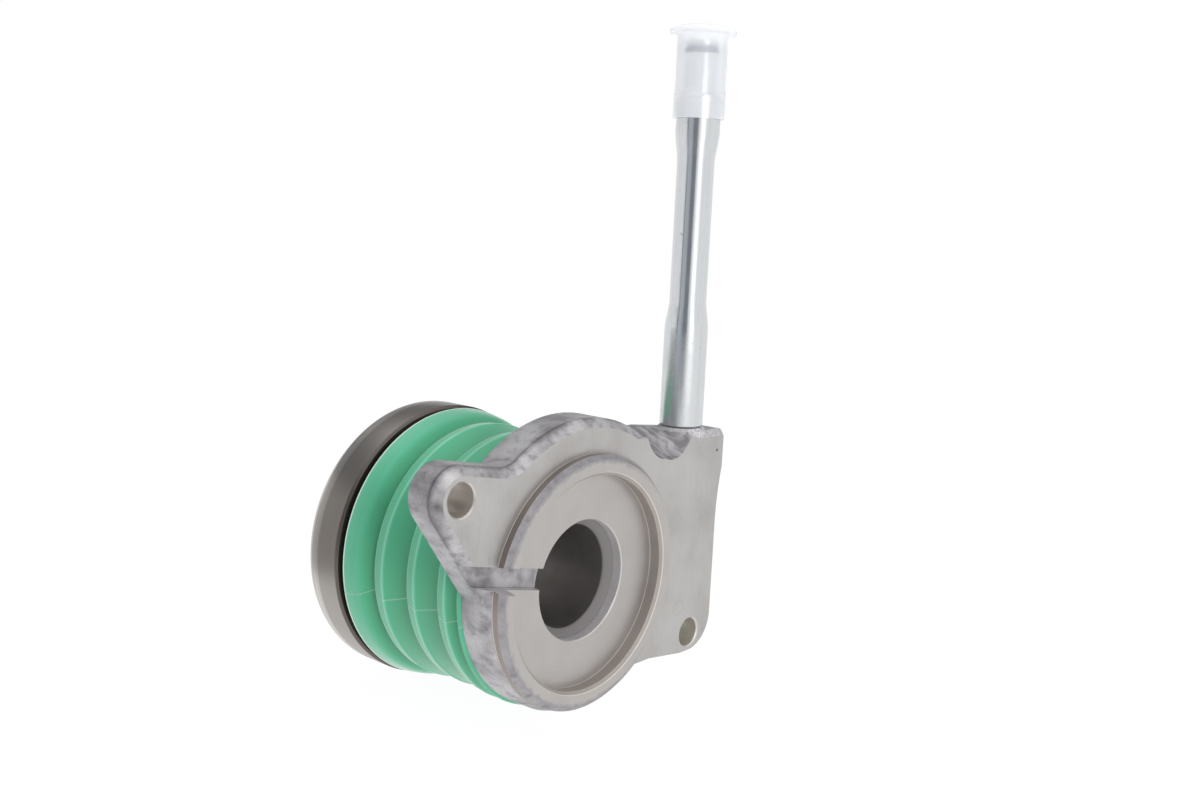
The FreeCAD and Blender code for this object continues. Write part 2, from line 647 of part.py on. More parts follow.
def soften_ear(body, base):
    """A blend between ear and crown, and the cast chamfer along the front of both."""

    def at_ear_root(marks):
        reaches = [math.hypot(mark.x, mark.z) for mark in marks]
        on_crown = all(abs(reach - s.crown_radius.value) < NEAR for reach in reaches)
        left = all(mark.x < 0 < mark.z for mark in marks)
        straight = abs(marks[0].x - marks[2].x) < NEAR
        return on_crown and left and straight and min(mark.y for mark in marks) < NEAR

    def on_outer_front(marks):
        return all(abs(mark.y) < NEAR and math.hypot(mark.x, mark.z) > NEAR for mark in marks)

    base = dressed(body, "Fillet", "ear_root", base, at_ear_root, s.ear_blend)
    dressed(body, "Chamfer", "cast_front_edge", base, on_outer_front, s.cast_edge)


def soften_block(body, base):
    """The cast chamfer along the front of the block's top."""

    def on_block_top(marks):
        low = s.block_top_z.value - s.block_top_corner.value - NEAR
        right = s.block_ridge_x.value - NEAR
        return all(abs(mark.y) < NEAR and mark.x > right and mark.z > low for mark in marks)

    dressed(body, "Chamfer", "block_top_edge", base, on_block_top, s.block_edge)


def cut_dish(body):
    """The hollow that the die leaves in the face beside the pipe, rising towards the back."""
    dish = body.newObject("PartDesign::SubtractiveCylinder", "dish")
    start = s.dish_radius
    tilt = FreeCAD.Rotation(FreeCAD.Vector(-1, 0, 0), RIGHT_ANGLE - s.dish_slope.value)
    dish.Placement = FreeCAD.Placement(FreeCAD.Vector(), tilt)
    bind(dish, "Placement.Rotation.Angle", as_size(RIGHT_ANGLE) - s.dish_slope)
    bind(dish, "Placement.Base.x", s.dish_x)
    bind(dish, "Placement.Base.y", -(start * cosine(s.dish_slope)))
    bind(dish, "Placement.Base.z", s.dish_z - start * sine(s.dish_slope))
    bind(dish, "Radius", s.dish_radius)
    bind(dish, "Height", s.block_depth * 3)


def add_cylinder(body):
    """The cylinder wall, solid at first, and the spigot ring on the gearbox side."""
    outer = s.chamber_radius + s.cylinder_wall
    inside = s.plate_thickness / 2
    barrel = [(0, inside), (outer, inside), (outer, s.cylinder_end), (0, s.cylinder_end)]
    revolved(body, outline(body, "cylinder_section", "XY_Plane", barrel), "cylinder")
    crest = -(s.spigot_length + s.spigot_chamfer)
    ring = [
        (s.recess_radius - s.recess_rim_chamfer, inside),
        (s.recess_radius - s.recess_rim_chamfer, crest),
        (s.spigot_radius - s.spigot_chamfer, crest),
        (s.spigot_radius, -s.spigot_length),
        (s.spigot_radius, inside),
    ]
    revolved(body, outline(body, "spigot_section", "XY_Plane", ring), "spigot")


def cut_bores(body):
    """Everything turned about the bore axis: recess, shaft entry, sleeve seat and cylinder bore."""
    sleeve_outer = s.sleeve_outer
    shoulder = s.sleeve_start + s.sleeve_shoulder
    seal_end = s.sleeve_seal_start + s.sleeve_seal_width
    seal_bottom = sleeve_outer + s.sleeve_seal_depth
    crest = -(s.spigot_length + s.spigot_chamfer)
    mouth = s.chamber_radius + s.mouth_chamfer
    section = [
        (0, crest * 2),
        (s.recess_radius + s.recess_rim_chamfer, crest * 2),
        (s.recess_radius + s.recess_rim_chamfer, crest),
        (s.recess_radius, crest + s.recess_rim_chamfer),
        (s.recess_radius, s.recess_depth),
        (s.entry_radius + s.entry_chamfer, s.recess_depth),
        (s.entry_radius, s.recess_depth + s.entry_chamfer),
        (s.entry_radius, shoulder),
        (sleeve_outer, shoulder + s.sleeve_shoulder),
        (sleeve_outer, s.sleeve_seal_start),
        (seal_bottom, s.sleeve_seal_start),
        (seal_bottom, seal_end),
        (sleeve_outer, seal_end),
        (sleeve_outer, s.chamber_floor),
        (s.chamber_radius, s.chamber_floor),
        (s.chamber_radius, s.cylinder_end - s.mouth_chamfer),
        (mouth, s.cylinder_end),
        (mouth, s.cylinder_end * 2),
        (0, s.cylinder_end * 2),
    ]
    revolved(body, outline(body, "bore_section", "XY_Plane", section), "bores", "Groove")


def cut_slot(body):
    """The drain slot with sloping walls, from the shaft entry out through the plate's edge."""
    top = -(s.spigot_length + s.spigot_chamfer) * 2
    section = [
        (-(s.slot_mouth_width / 2), top),
        (-(s.slot_floor_width / 2), s.slot_floor),
        (s.slot_floor_width / 2, s.slot_floor),
        (s.slot_mouth_width / 2, top),
    ]
    sketch = outline(body, "slot_section", "XY_Plane", section)
    offset_sketch(sketch, swing=as_size(RIGHT_ANGLE) - s.slot_angle)
    padded(body, sketch, "drain_slot", s.crown_radius * 2, "Pocket")


def cut_screw_holes(body):
    """Clearance holes for the two screws, with a small chamfer at each mouth."""
    for name, x, z in (
        ("ear_hole", s.ear_hole_x, s.ear_hole_z),
        ("block_hole", s.block_hole_x, s.block_hole_z),
    ):
        mouth = s.bolt_hole_radius + s.bolt_hole_chamfer
        section = [
            (0, -s.bolt_hole_chamfer),
            (mouth + s.bolt_hole_chamfer, -s.bolt_hole_chamfer),
            (s.bolt_hole_radius, s.bolt_hole_chamfer),
            (s.bolt_hole_radius, s.block_depth * 2),
            (0, s.block_depth * 2),
        ]
        sketch = outline(body, name + "_section", "XY_Plane", section)
        offset_sketch(sketch, x=x, z=z)
        revolved(body, sketch, name, "Groove")


def cut_pipe_seat(body):
    """The socket for the pipe's lower end and the drilling under it."""
    socket = s.pipe_spigot_radius + s.running_fit
    floor = s.pipe_foot - s.seal_slack
    section = [
        (0, s.oil_way_z),
        (s.pipe_bore, s.oil_way_z),
        (s.pipe_bore, floor),
        (socket, floor),
        (socket, s.seat_boss_z * 2),
        (0, s.seat_boss_z * 2),
    ]
    sketch = outline(body, "pipe_socket_section", "XZ_Plane", section)
    offset_sketch(sketch, x=s.pipe_x, z=-s.pipe_y)
    revolved(body, sketch, "pipe_socket", "Groove")


def cut_oil_way(body):
    """A cross drilling from the block's side, closed by a ball, and one up into the ring chamber."""
    turn_x = root(s.oil_way_reach * s.oil_way_reach - s.oil_way_z * s.oil_way_z)
    cross = circle_sketch(body, "cross_drilling_circle", "YZ_Plane", s.pipe_y, s.oil_way_z, s.oil_way_radius)
    offset_sketch(cross, z=turn_x)
    padded(body, cross, "cross_drilling", s.block_corner_x, "Pocket")
    seat = circle_sketch(
        body, "plug_seat_circle", "YZ_Plane", s.pipe_y, s.oil_way_z, s.plug_radius + s.plug_fit
    )
    offset_sketch(seat, z=s.block_side_x - s.plug_depth - s.plug_radius)
    padded(body, seat, "plug_seat", s.block_corner_x, "Pocket")
    rise = circle_sketch(body, "chamber_drilling_circle", "XZ_Plane", turn_x, s.oil_way_z, s.oil_way_radius)
    offset_sketch(rise, z=-s.pipe_y)
    padded(body, rise, "chamber_drilling", s.chamber_floor, "Pocket", reverse=False)


def pin_place():
    """The pin's axis, across and height: it passes the pipe in the pipe's own groove."""
    return s.pipe_x + s.pin_offset, s.pin_groove_z + s.pin_groove_width / 2


def cut_pin_hole(body):
    """The blind hole behind the pipe for its retaining pin."""
    x, z = pin_place()
    hole = circle_sketch(body, "pin_hole_circle", "XZ_Plane", x, z, s.pin_radius + s.running_fit)
    offset_sketch(hole, z=-s.pin_front)
    padded(body, hole, "pin_hole", s.block_depth * 2, "Pocket", reverse=False)


def build_housing():
    body = new_body("housing")
    add_ear(body)
    soften_ear(body, add_crown(body))
    add_rim(body)
    add_block(body)
    soften_block(body, cut_boot_seat(body))
    cut_dish(body)
    add_pipe_boss(body)
    add_cylinder(body)
    cut_bores(body)
    cut_slot(body)
    cut_screw_holes(body)
    cut_pipe_seat(body)
    cut_oil_way(body)
    cut_pin_hole(body)
    place(body)
    return body


# Guide sleeve: a steel tube pressed into the casting, with a flared end on the gearbox side
def build_sleeve():
    outer = s.sleeve_outer
    flare = s.entry_radius - s.running_fit
    shoulder = s.sleeve_start + s.sleeve_shoulder
    groove = outer - s.stop_bite
    groove_end = s.stop_groove_start + s.stop_thickness + s.seal_slack * 2
    section = [
        (flare - s.sleeve_lip, s.sleeve_start),
        (flare, s.sleeve_start),
        (flare, shoulder),
        (outer, shoulder + s.sleeve_shoulder),
        (outer, s.stop_groove_start),
        (groove, s.stop_groove_start),
        (groove, groove_end),
        (outer, groove_end),
        (outer, s.sleeve_end),
        (s.sleeve_radius, s.sleeve_end),
        (s.sleeve_radius, s.sleeve_start + s.sleeve_flare),
    ]
    sleeve = turned("guide_sleeve", section)
    place(sleeve)
    return sleeve


def build_sleeve_seal():
    cord = s.sleeve_seal_depth / 2 - s.seal_slack
    middle = s.sleeve_outer + s.sleeve_seal_depth / 2
    ring = o_ring("sleeve_o_ring", middle, cord)
    ring.Placement = FreeCAD.Placement(FreeCAD.Vector(), ALONG_BORE)
    bind(ring, "Placement.Base.y", s.sleeve_seal_start + s.sleeve_seal_width / 2)
    return ring


def build_stop_ring():
    """An open spring ring near the sleeve's end, where the piston stops."""
    inner = s.sleeve_outer - s.stop_bite + s.seal_slack
    low = s.stop_groove_start + s.seal_slack
    high = low + s.stop_thickness
    section = [(inner, low), (s.stop_radius, low), (s.stop_radius, high), (inner, high)]
    ring = turned("piston_stop_ring", section, angle=s.stop_arc)
    place(ring)
    return ring


# Piston: one moulding that slides on the sleeve and carries the bearing on its flange
def build_piston():
    inner = s.sleeve_outer + s.running_fit
    outer = s.chamber_radius - s.running_fit
    carrier_end = s.carrier_end
    hook_end = s.hook_groove_start + s.hook_groove_width
    section = [
        (inner, s.piston_start),
        (s.tongue_inner, s.piston_start),
        (s.tongue_inner, s.piston_start - s.tongue_length),
        (s.tongue_outer, s.piston_start - s.tongue_length),
        (s.tongue_outer, s.piston_start),
        (outer, s.piston_start),
        (outer, s.carrier_start),
        (s.carrier_radius, s.carrier_start),
        (s.carrier_radius, carrier_end),
        (outer, carrier_end),
        (outer, s.hook_groove_start),
        (outer - s.hook_groove_depth, s.hook_groove_start),
        (outer - s.hook_groove_depth, hook_end),
        (outer, hook_end),
        (outer, s.piston_end - s.mouth_chamfer),
        (outer - s.mouth_chamfer, s.piston_end),
        (inner, s.piston_end),
    ]
    piston = turned("piston", section)
    place(piston)
    return piston


def build_piston_seal():
    """A lip seal on the piston's tongue, with its two lips towards the oil."""
    inner = s.sleeve_outer + s.running_fit
    outer = s.chamber_radius - s.running_fit
    back = s.piston_start - s.seal_length
    valley = back + s.seal_lip_depth
    section = [
        (inner + s.seal_lip_bevel, back),
        (inner + s.seal_lip_wall, back),
        (s.tongue_inner, valley),
        (s.tongue_outer, valley),
        (outer - s.seal_lip_wall, back),
        (outer - s.seal_lip_bevel, back),
        (outer, back + s.seal_lip_bevel),
        (outer, s.piston_start),
        (s.tongue_outer, s.piston_start),
        (s.tongue_outer, s.piston_start - s.tongue_length),
        (s.tongue_inner, s.piston_start - s.tongue_length),
        (s.tongue_inner, s.piston_start),
        (inner, s.piston_start),
        (inner, back + s.seal_lip_bevel),
    ]
    seal = turned("piston_seal", section)
    place(seal)
    return seal


# Preload spring with its two steel seats
def spring_span():
    """Where the spring starts and ends along the bore."""
    low = s.plate_thickness + s.boot_foot_thickness + s.foot_ring_thickness
    high = s.carrier_start - s.seat_thickness
    return low, high


def flat_ring(name, inner, outer, low, high):
    ring = turned(name, [(inner, low), (outer, low), (outer, high), (inner, high)])
    place(ring)
    return ring


def build_spring_seats():
    low, high = spring_span()
    inner = s.spring_inner - s.seat_margin
    outer = s.spring_outer + s.seat_margin
    foot = flat_ring("boot_foot_ring", inner, outer, low - s.foot_ring_thickness, low)
    seat = flat_ring("spring_seat", inner, s.carrier_radius - s.seat_inset, high, s.carrier_start)
    return [foot, seat]


def build_spring():
    """An even coil, whose wire has flats to keep its faces few. Both ends are ground flat on their seats."""
    low, high = (size.value for size in spring_span())
    wire, radius, pitch = s.spring_wire.value, s.spring_mean_radius.value, s.spring_pitch.value
    grind = wire / 2
    rise = high - low + 2 * grind
    turns = rise / pitch
    steps = math.ceil(turns * s.spring_steps.value)
    path = []
    for step in range(steps + 1):
        angle = 2 * math.pi * turns * step / steps
        path.append(FreeCAD.Vector(radius * math.cos(angle), radius * math.sin(angle), rise * step / steps))
    along = (path[1] - path[0]).normalize()
    across = FreeCAD.Vector(1, 0, 0)
    upwards = along.cross(across)
    sides = int(s.spring_flats.value)
    rim = []
    for side in range(sides + 1):
        angle = 2 * math.pi * side / sides
        rim.append(path[0] + (across * math.cos(angle) + upwards * math.sin(angle)) * (wire / 2))
    coil = Part.makePolygon(path).makePipeShell([Part.makePolygon(rim)], True, False, 1)
    reach = radius + wire
    for start in (grind - rise, grind + high - low):
        corner = FreeCAD.Vector(-reach, -reach, start)
        coil = coil.cut(Part.makeBox(2 * reach, 2 * reach, rise, corner))
    spring = doc.addObject("Part::Feature", "preload_spring")
    spring.Label = "preload_spring"
    spring.Shape = coil
    spring.Placement = FreeCAD.Placement(FreeCAD.Vector(0, low - grind, 0), ALONG_BORE)
    return spring


# Dust boot: a moulded rubber bellows with saw-tooth folds, held by the spring at its foot
def boot_crests():
    base = s.lowest_fold
    return [
        (base + s.crest_one_rise, s.crest_one_y),
        (base + s.crest_two_rise, s.crest_two_y),
        (base + s.crest_three_rise, s.crest_three_y),
    ]


def build_boot():
    """Each fold rises slowly to its crest and drops back over a short run behind it."""
    foot_top = s.plate_thickness + s.boot_foot_thickness
    foot_inner = s.chamber_radius + s.cylinder_wall + s.boot_foot_room
    bead = s.lowest_fold + s.bead_rise
    bead_valley = s.boot_bead_y + s.fold_run
    outside = [
        (bead - s.crest_round, s.plate_thickness),
        (bead, s.boot_bead_y),
        (bead - s.fold_depth, bead_valley),
    ]
    inside = [(bead - s.fold_depth - s.boot_wall, bead_valley)]
    for radius, y in boot_crests():
        valley = radius - s.fold_depth
        outside += [(radius, y), (valley, y + s.fold_run)]
        inside += [(radius - s.boot_wall, y), (valley - s.boot_wall, y + s.fold_run)]
    flange_inside = s.carrier_radius + s.lip_fit
    hook_end = s.carrier_start - s.seat_thickness - s.lip_fit
    hook_inner = s.carrier_radius - s.lip_hook
    outside += [(s.lip_radius, s.lip_start), (s.lip_radius - s.lip_taper, s.lip_end)]
    lip = [
        (flange_inside, s.lip_end),
        (flange_inside, hook_end),
        (hook_inner, hook_end),
        (hook_inner, hook_end - s.boot_wall),
    ]
    foot = [
        (bead - s.fold_depth - s.boot_wall, foot_top),
        (foot_inner, foot_top),
        (foot_inner, s.plate_thickness),
    ]
    body = new_body("dust_boot")
    sketch = outline(body, "boot_section", "XY_Plane", outside + lip + inside[::-1] + foot)
    bellows = revolved(body, sketch, "bellows")

    def on_crest(marks):
        return any(
            all(
                abs(math.hypot(mark.x, mark.z) - radius.value) < NEAR and abs(mark.y - y.value) < NEAR
                for mark in marks
            )
            for radius, y in boot_crests() + [(s.lip_radius, s.lip_start)]
        )

    dressed(body, "Fillet", "crest_rounds", bellows, on_crest, s.crest_round)
    place(body)
    return body


# Release bearing: a still inner race, balls in a cage, and a rotating ring with the contact face
def build_inner_race():
    track = s.track_radius
    inside = s.pitch_radius - track
    back = s.ball_y - track
    section = [
        (s.race_inner, s.race_front),
        (inside, s.race_front),
        (inside, s.ball_y),
        (s.pitch_radius, back),
        (s.race_flange_radius, back),
        (s.race_flange_radius, back - s.race_thickness),
        (s.pitch_radius, back - s.race_thickness),
        (s.race_inner, s.ball_y),
    ]
    race = turned("bearing_inner_race", section, {2: (track, 1), 6: (track + s.race_thickness, -1)})
    place(race)
    return race


def build_rotating_ring():
    track = s.track_radius
    outside = s.pitch_radius + track
    front = s.ball_y + track
    face = front + s.race_thickness
    section = [
        (s.shell_radius - s.shell_back_chamfer, s.shell_back),
        (s.shell_radius, s.shell_back + s.shell_back_chamfer),
        (s.shell_radius, face - s.shell_shoulder),
        (s.shell_radius - s.shell_shoulder, face),
        (s.contact_inner + s.contact_chamfer, face),
        (s.contact_inner, face - s.contact_chamfer),
        (s.contact_inner, front),
        (s.pitch_radius, front),
        (outside, s.ball_y),
        (outside, s.shell_back),
    ]
    ring = turned("bearing_rotating_ring", section, {2: (s.shell_shoulder, 1), 7: (track, -1)})
    place(ring)
    return ring


def build_bearing_seals():
    outside = s.pitch_radius + s.track_radius
    inside = s.pitch_radius - s.track_radius
    back = flat_ring(
        "bearing_back_seal",
        s.race_flange_radius + s.seal_gap,
        outside,
        s.back_seal_start,
        s.back_seal_start + s.back_seal_thickness,
    )
    front = flat_ring(
        "bearing_front_seal",
        inside + s.seal_gap,
        s.contact_inner,
        s.front_seal_start,
        s.front_seal_start + s.front_seal_thickness,
    )
    return [back, front]


def build_balls():
    """The balls stand in a circle, each with its own axis along the bore."""
    balls = []
    for number in range(int(s.ball_count.value)):
        angle = as_size(TURN * number) / s.ball_count
        ball = doc.addObject("Part::Sphere", f"ball_{number}")
        ball.Placement = FreeCAD.Placement(FreeCAD.Vector(), ALONG_BORE)
        bind(ball, "Radius", s.ball_radius)
        place(ball, s.pitch_radius * cosine(angle), s.ball_y, s.pitch_radius * sine(angle))
        balls.append(ball)
    full_set = doc.addObject("Part::Compound", "bearing_balls")
    full_set.Label = "bearing_balls"
    full_set.Links = balls
    return full_set


def build_cage():
    """A moulded ring between the races: a rim at the front and bars with round pockets for the balls."""
    inside = s.pitch_radius - s.track_radius + s.cage_room
    front = s.ball_y + s.track_radius - s.cage_room
    section = [
        (inside, s.ball_y + s.cage_room * 2),
        (inside, front),
        (s.pitch_radius, front),
        (s.pitch_radius + s.cage_corner, s.ball_y + s.cage_corner),
        (s.pitch_radius + s.cage_reach, s.ball_y),
        (s.pitch_radius + s.cage_corner, s.ball_y - s.cage_corner),
        (s.pitch_radius, s.ball_y - s.cage_reach),
        (s.pitch_radius - s.cage_corner, s.ball_y - s.cage_corner),
    ]
    cage = turned("bearing_cage", section)
    pocket = cage.newObject("PartDesign::SubtractiveSphere", "ball_pocket")
    pocket.Placement = FreeCAD.Placement(FreeCAD.Vector(), ALONG_BORE)
    bind(pocket, "Radius", s.ball_radius + s.pocket_gap)
    place(pocket, s.pitch_radius, s.ball_y)
    ring = cage.newObject("PartDesign::PolarPattern", "ball_pockets")
    ring.Originals = [pocket]
    ring.Axis = (origin_feature(cage, "Y_Axis"), [""])
    ring.Angle = TURN
    bind(ring, "Occurrences", s.ball_count)
    cage.Tip = ring
    place(cage)
    return cage


def build_centring_washer():
    """A dished spring washer that lets the bearing find its centre on the piston's flange."""
    low = s.carrier_end + s.washer_play
    high = s.ball_y - s.track_radius - s.race_thickness - s.washer_play
    section = [
        (s.washer_inner, low),
        (s.washer_outer, high - s.washer_thickness),
        (s.washer_outer, high),
        (s.washer_inner, low + s.washer_thickness),
    ]
    washer = turned("centring_washer", section)
    place(washer)
    return washer


def build_retainer():
    """A sheet sleeve clipped in the piston's groove, whose front flange keeps the bearing on."""
    inner, outer = s.retainer_inner, s.retainer_outer
    low = s.carrier_end + s.washer_play
    hook_low = s.hook_groove_start + s.seal_slack
    hook_high = s.hook_groove_start + s.hook_groove_width - s.seal_slack
    hook = s.chamber_radius - s.running_fit - s.hook_groove_depth + s.seal_slack
    front = s.race_front + s.retainer_gap
    section = [
        (inner, low),
        (outer, low),
        (outer, front),
        (s.retainer_reach, front),
        (s.retainer_reach, front + s.retainer_wall),
        (inner, front + s.retainer_wall),
        (inner, hook_high),
        (hook, hook_high),
        (hook, hook_low),
        (inner, hook_low),
    ]
    retainer = turned("bearing_retainer", section)
    place(retainer)
    return retainer


# Feed pipe: a turned steel adapter with two thick parts, a neck and a nipple for the hose coupling
def groove(radius, low, width, depth, upwards=True):
    """The four corners of a square groove in a turned outline."""
    corners = [
        (radius, low),
        (radius - depth, low),
        (radius - depth, low + width),
        (radius, low + width),
    ]
    return corners if upwards else corners[::-1]


def build_pipe():
    spigot = s.pipe_spigot_radius
    section = (
        [(s.pipe_bore, s.pipe_foot), (spigot, s.pipe_foot)]
        + groove(spigot, s.pin_groove_z, s.pin_groove_width, s.pin_groove_depth)
        + groove(spigot, s.pipe_groove_z, s.pipe_groove_width, s.pipe_groove_depth)
        + [
            (spigot, s.seat_boss_z),
            (s.pipe_radius - s.pipe_chamfer, s.seat_boss_z),
            (s.pipe_radius, s.seat_boss_z + s.pipe_chamfer),
            (s.pipe_radius, s.neck_low_start),
            (s.pipe_neck_radius, s.neck_low_end),
            (s.pipe_neck_radius, s.neck_high_start),
            (s.pipe_radius, s.neck_high_end),
            (s.pipe_radius, s.nipple_start - s.pipe_chamfer),
            (s.pipe_radius - s.pipe_chamfer, s.nipple_start),
            (s.nipple_radius, s.nipple_start),
        ]
        + groove(s.nipple_radius, s.nipple_groove_z, s.nipple_groove_width, s.nipple_groove_depth)
        + [
            (s.nipple_radius, s.nipple_end - s.nipple_chamfer),
            (s.nipple_radius - s.nipple_chamfer, s.nipple_end),
            (s.pipe_bore, s.nipple_end),
        ]
    )
    pipe = turned("feed_pipe", section, role="XZ_Plane")
    place(pipe, s.pipe_x, s.pipe_y)
    return pipe


def build_pipe_seals():
    slack = s.seal_slack
    socket = s.pipe_spigot_radius + s.running_fit
    low_bottom = s.pipe_spigot_radius - s.pipe_groove_depth
    low_cord = (socket - low_bottom) / 2 - slack
    low = o_ring("pipe_o_ring", (socket + low_bottom) / 2, low_cord)
    place(low, s.pipe_x, s.pipe_y, s.pipe_groove_z + s.pipe_groove_width / 2)
    top_bottom = s.nipple_radius - s.nipple_groove_depth
    top_out = s.nipple_radius + s.nipple_seal_proud
    top = o_ring("nipple_o_ring", (top_out + top_bottom) / 2, (top_out - top_bottom) / 2 - slack)
    place(top, s.pipe_x, s.pipe_y, s.nipple_groove_z + s.nipple_groove_width / 2)
    return [low, top]


def build_pin():
    """A rolled spring pin behind the pipe, open along one side."""
    x, z = pin_place()
    body = new_body("pipe_retaining_pin")
    outer = circle_sketch(body, "pin_circle", "XZ_Plane", 0, 0, s.pin_radius)
    padded(body, outer, "pin_blank", s.pin_length)
    inner = circle_sketch(body, "pin_bore_circle", "XZ_Plane", 0, 0, s.pin_radius - s.pin_wall)
    padded(body, inner, "pin_bore", s.pin_length * 2, "Pocket", reverse=False)
    half = s.pin_slit / 2
    slit = [(0, -half), (s.pin_radius * 2, -half), (s.pin_radius * 2, half), (0, half)]
    sketch = outline(body, "pin_slit_outline", "XZ_Plane", slit)
    padded(body, sketch, "pin_slit", s.pin_length * 2, "Pocket", reverse=False)
    place(body, x, s.pin_front + s.seal_slack, z)
    return body


def build_plug():
    plug = doc.addObject("Part::Sphere", "oil_way_plug")
    plug.Label = "oil_way_plug"
    bind(plug, "Radius", s.plug_radius)
    place(plug, s.block_side_x - s.plug_depth, s.pipe_y, s.oil_way_z)
    return plug


# Transit cap: a thin moulded cap with a flange at its closed end
def build_cap():
    skirt_end = s.cap_start + s.cap_skirt_length
    flange_low = s.cap_end - s.cap_flange_thickness - s.cap_flange_drop
    section = [
        (0, s.cap_end - s.cap_roof),
        (s.cap_body_radius - s.cap_wall, s.cap_end - s.cap_roof),
        (s.cap_body_radius - s.cap_wall, skirt_end + s.cap_step),
        (s.cap_skirt_radius - s.cap_wall, skirt_end),
        (s.cap_skirt_radius - s.cap_wall, s.cap_start),
        (s.cap_skirt_radius, s.cap_start),
        (s.cap_skirt_radius, skirt_end),
        (s.cap_body_radius, skirt_end + s.cap_step),
        (s.cap_body_radius, flange_low),
        (s.cap_flange_radius, flange_low - s.cap_flange_drop / 2),
        (s.cap_flange_radius, s.cap_end - s.cap_flange_drop),
        (s.cap_body_radius, s.cap_end),
        (0, s.cap_end),
    ]
    cap = turned("transit_cap", section, role="XZ_Plane")
    place(cap, s.pipe_x, s.pipe_y)
    return cap


# Build, check and write
parts = [
    build_housing(),
    build_sleeve(),
    build_sleeve_seal(),
    build_stop_ring(),
    build_piston(),
    build_piston_seal(),
    *build_spring_seats(),
    build_spring(),
    build_boot(),
    build_inner_race(),
    build_rotating_ring(),
    *build_bearing_seals(),
    build_balls(),
    build_cage(),
    build_centring_washer(),
    build_retainer(),
    build_pipe(),
    *build_pipe_seals(),
    build_pin(),
    build_plug(),
    build_cap(),
]
doc.recompute()
for thing in doc.Objects:
    if {"Invalid", "Error"} & set(thing.State):
        raise RuntimeError(f"{thing.Name} failed: {thing.State}")
for part in parts:
    if part.Shape.isNull() or not part.Shape.isValid():
        raise RuntimeError(f"{part.Label} has no valid shape")
os.makedirs("parts", exist_ok=True)
for part in parts:
    part.Shape.exportStep(f"parts/{part.Label}.step")
    centre = part.Shape.BoundBox.Center
    print(f"{part.Label}: {len(part.Shape.Solids)} solid, {part.Shape.Volume:.1f} mm3, centre {centre}")
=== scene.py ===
# Clutch slave cylinder: its looks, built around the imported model.
# Sections follow the unit as it is assembled, from the casting outwards, and end with the studio.
import math

import bmesh
import bpy
from mathutils import Matrix, Vector


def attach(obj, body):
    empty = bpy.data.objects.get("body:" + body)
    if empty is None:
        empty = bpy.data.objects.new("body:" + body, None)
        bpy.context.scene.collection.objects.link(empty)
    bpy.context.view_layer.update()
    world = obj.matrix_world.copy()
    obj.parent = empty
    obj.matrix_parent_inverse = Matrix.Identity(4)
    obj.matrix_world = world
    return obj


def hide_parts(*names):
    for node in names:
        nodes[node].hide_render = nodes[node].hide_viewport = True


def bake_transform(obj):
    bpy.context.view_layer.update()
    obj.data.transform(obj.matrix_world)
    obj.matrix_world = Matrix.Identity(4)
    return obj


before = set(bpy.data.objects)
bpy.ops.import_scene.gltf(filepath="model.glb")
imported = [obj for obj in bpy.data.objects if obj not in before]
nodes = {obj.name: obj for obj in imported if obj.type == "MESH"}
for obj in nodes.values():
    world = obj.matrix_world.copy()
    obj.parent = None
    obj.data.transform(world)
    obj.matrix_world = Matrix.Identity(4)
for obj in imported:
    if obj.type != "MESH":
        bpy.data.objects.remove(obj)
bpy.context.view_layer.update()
MM = 0.001


# Housing
# One pressure die casting in aluminium. Its gearbox side is milled flat, the spigot, the recess and
# the bores are turned, and everything else keeps the mottled skin of the die.
def paint(red, green, blue):
    """A colour given as it looks, 0 to 255, as the linear values that a shader wants."""
    channels = []
    for value in (red, green, blue):
        share = value / 255
        channels.append(share / 12.92 if share <= 0.04045 else ((share + 0.055) / 1.055) ** 2.4)
    return (*channels, 1)


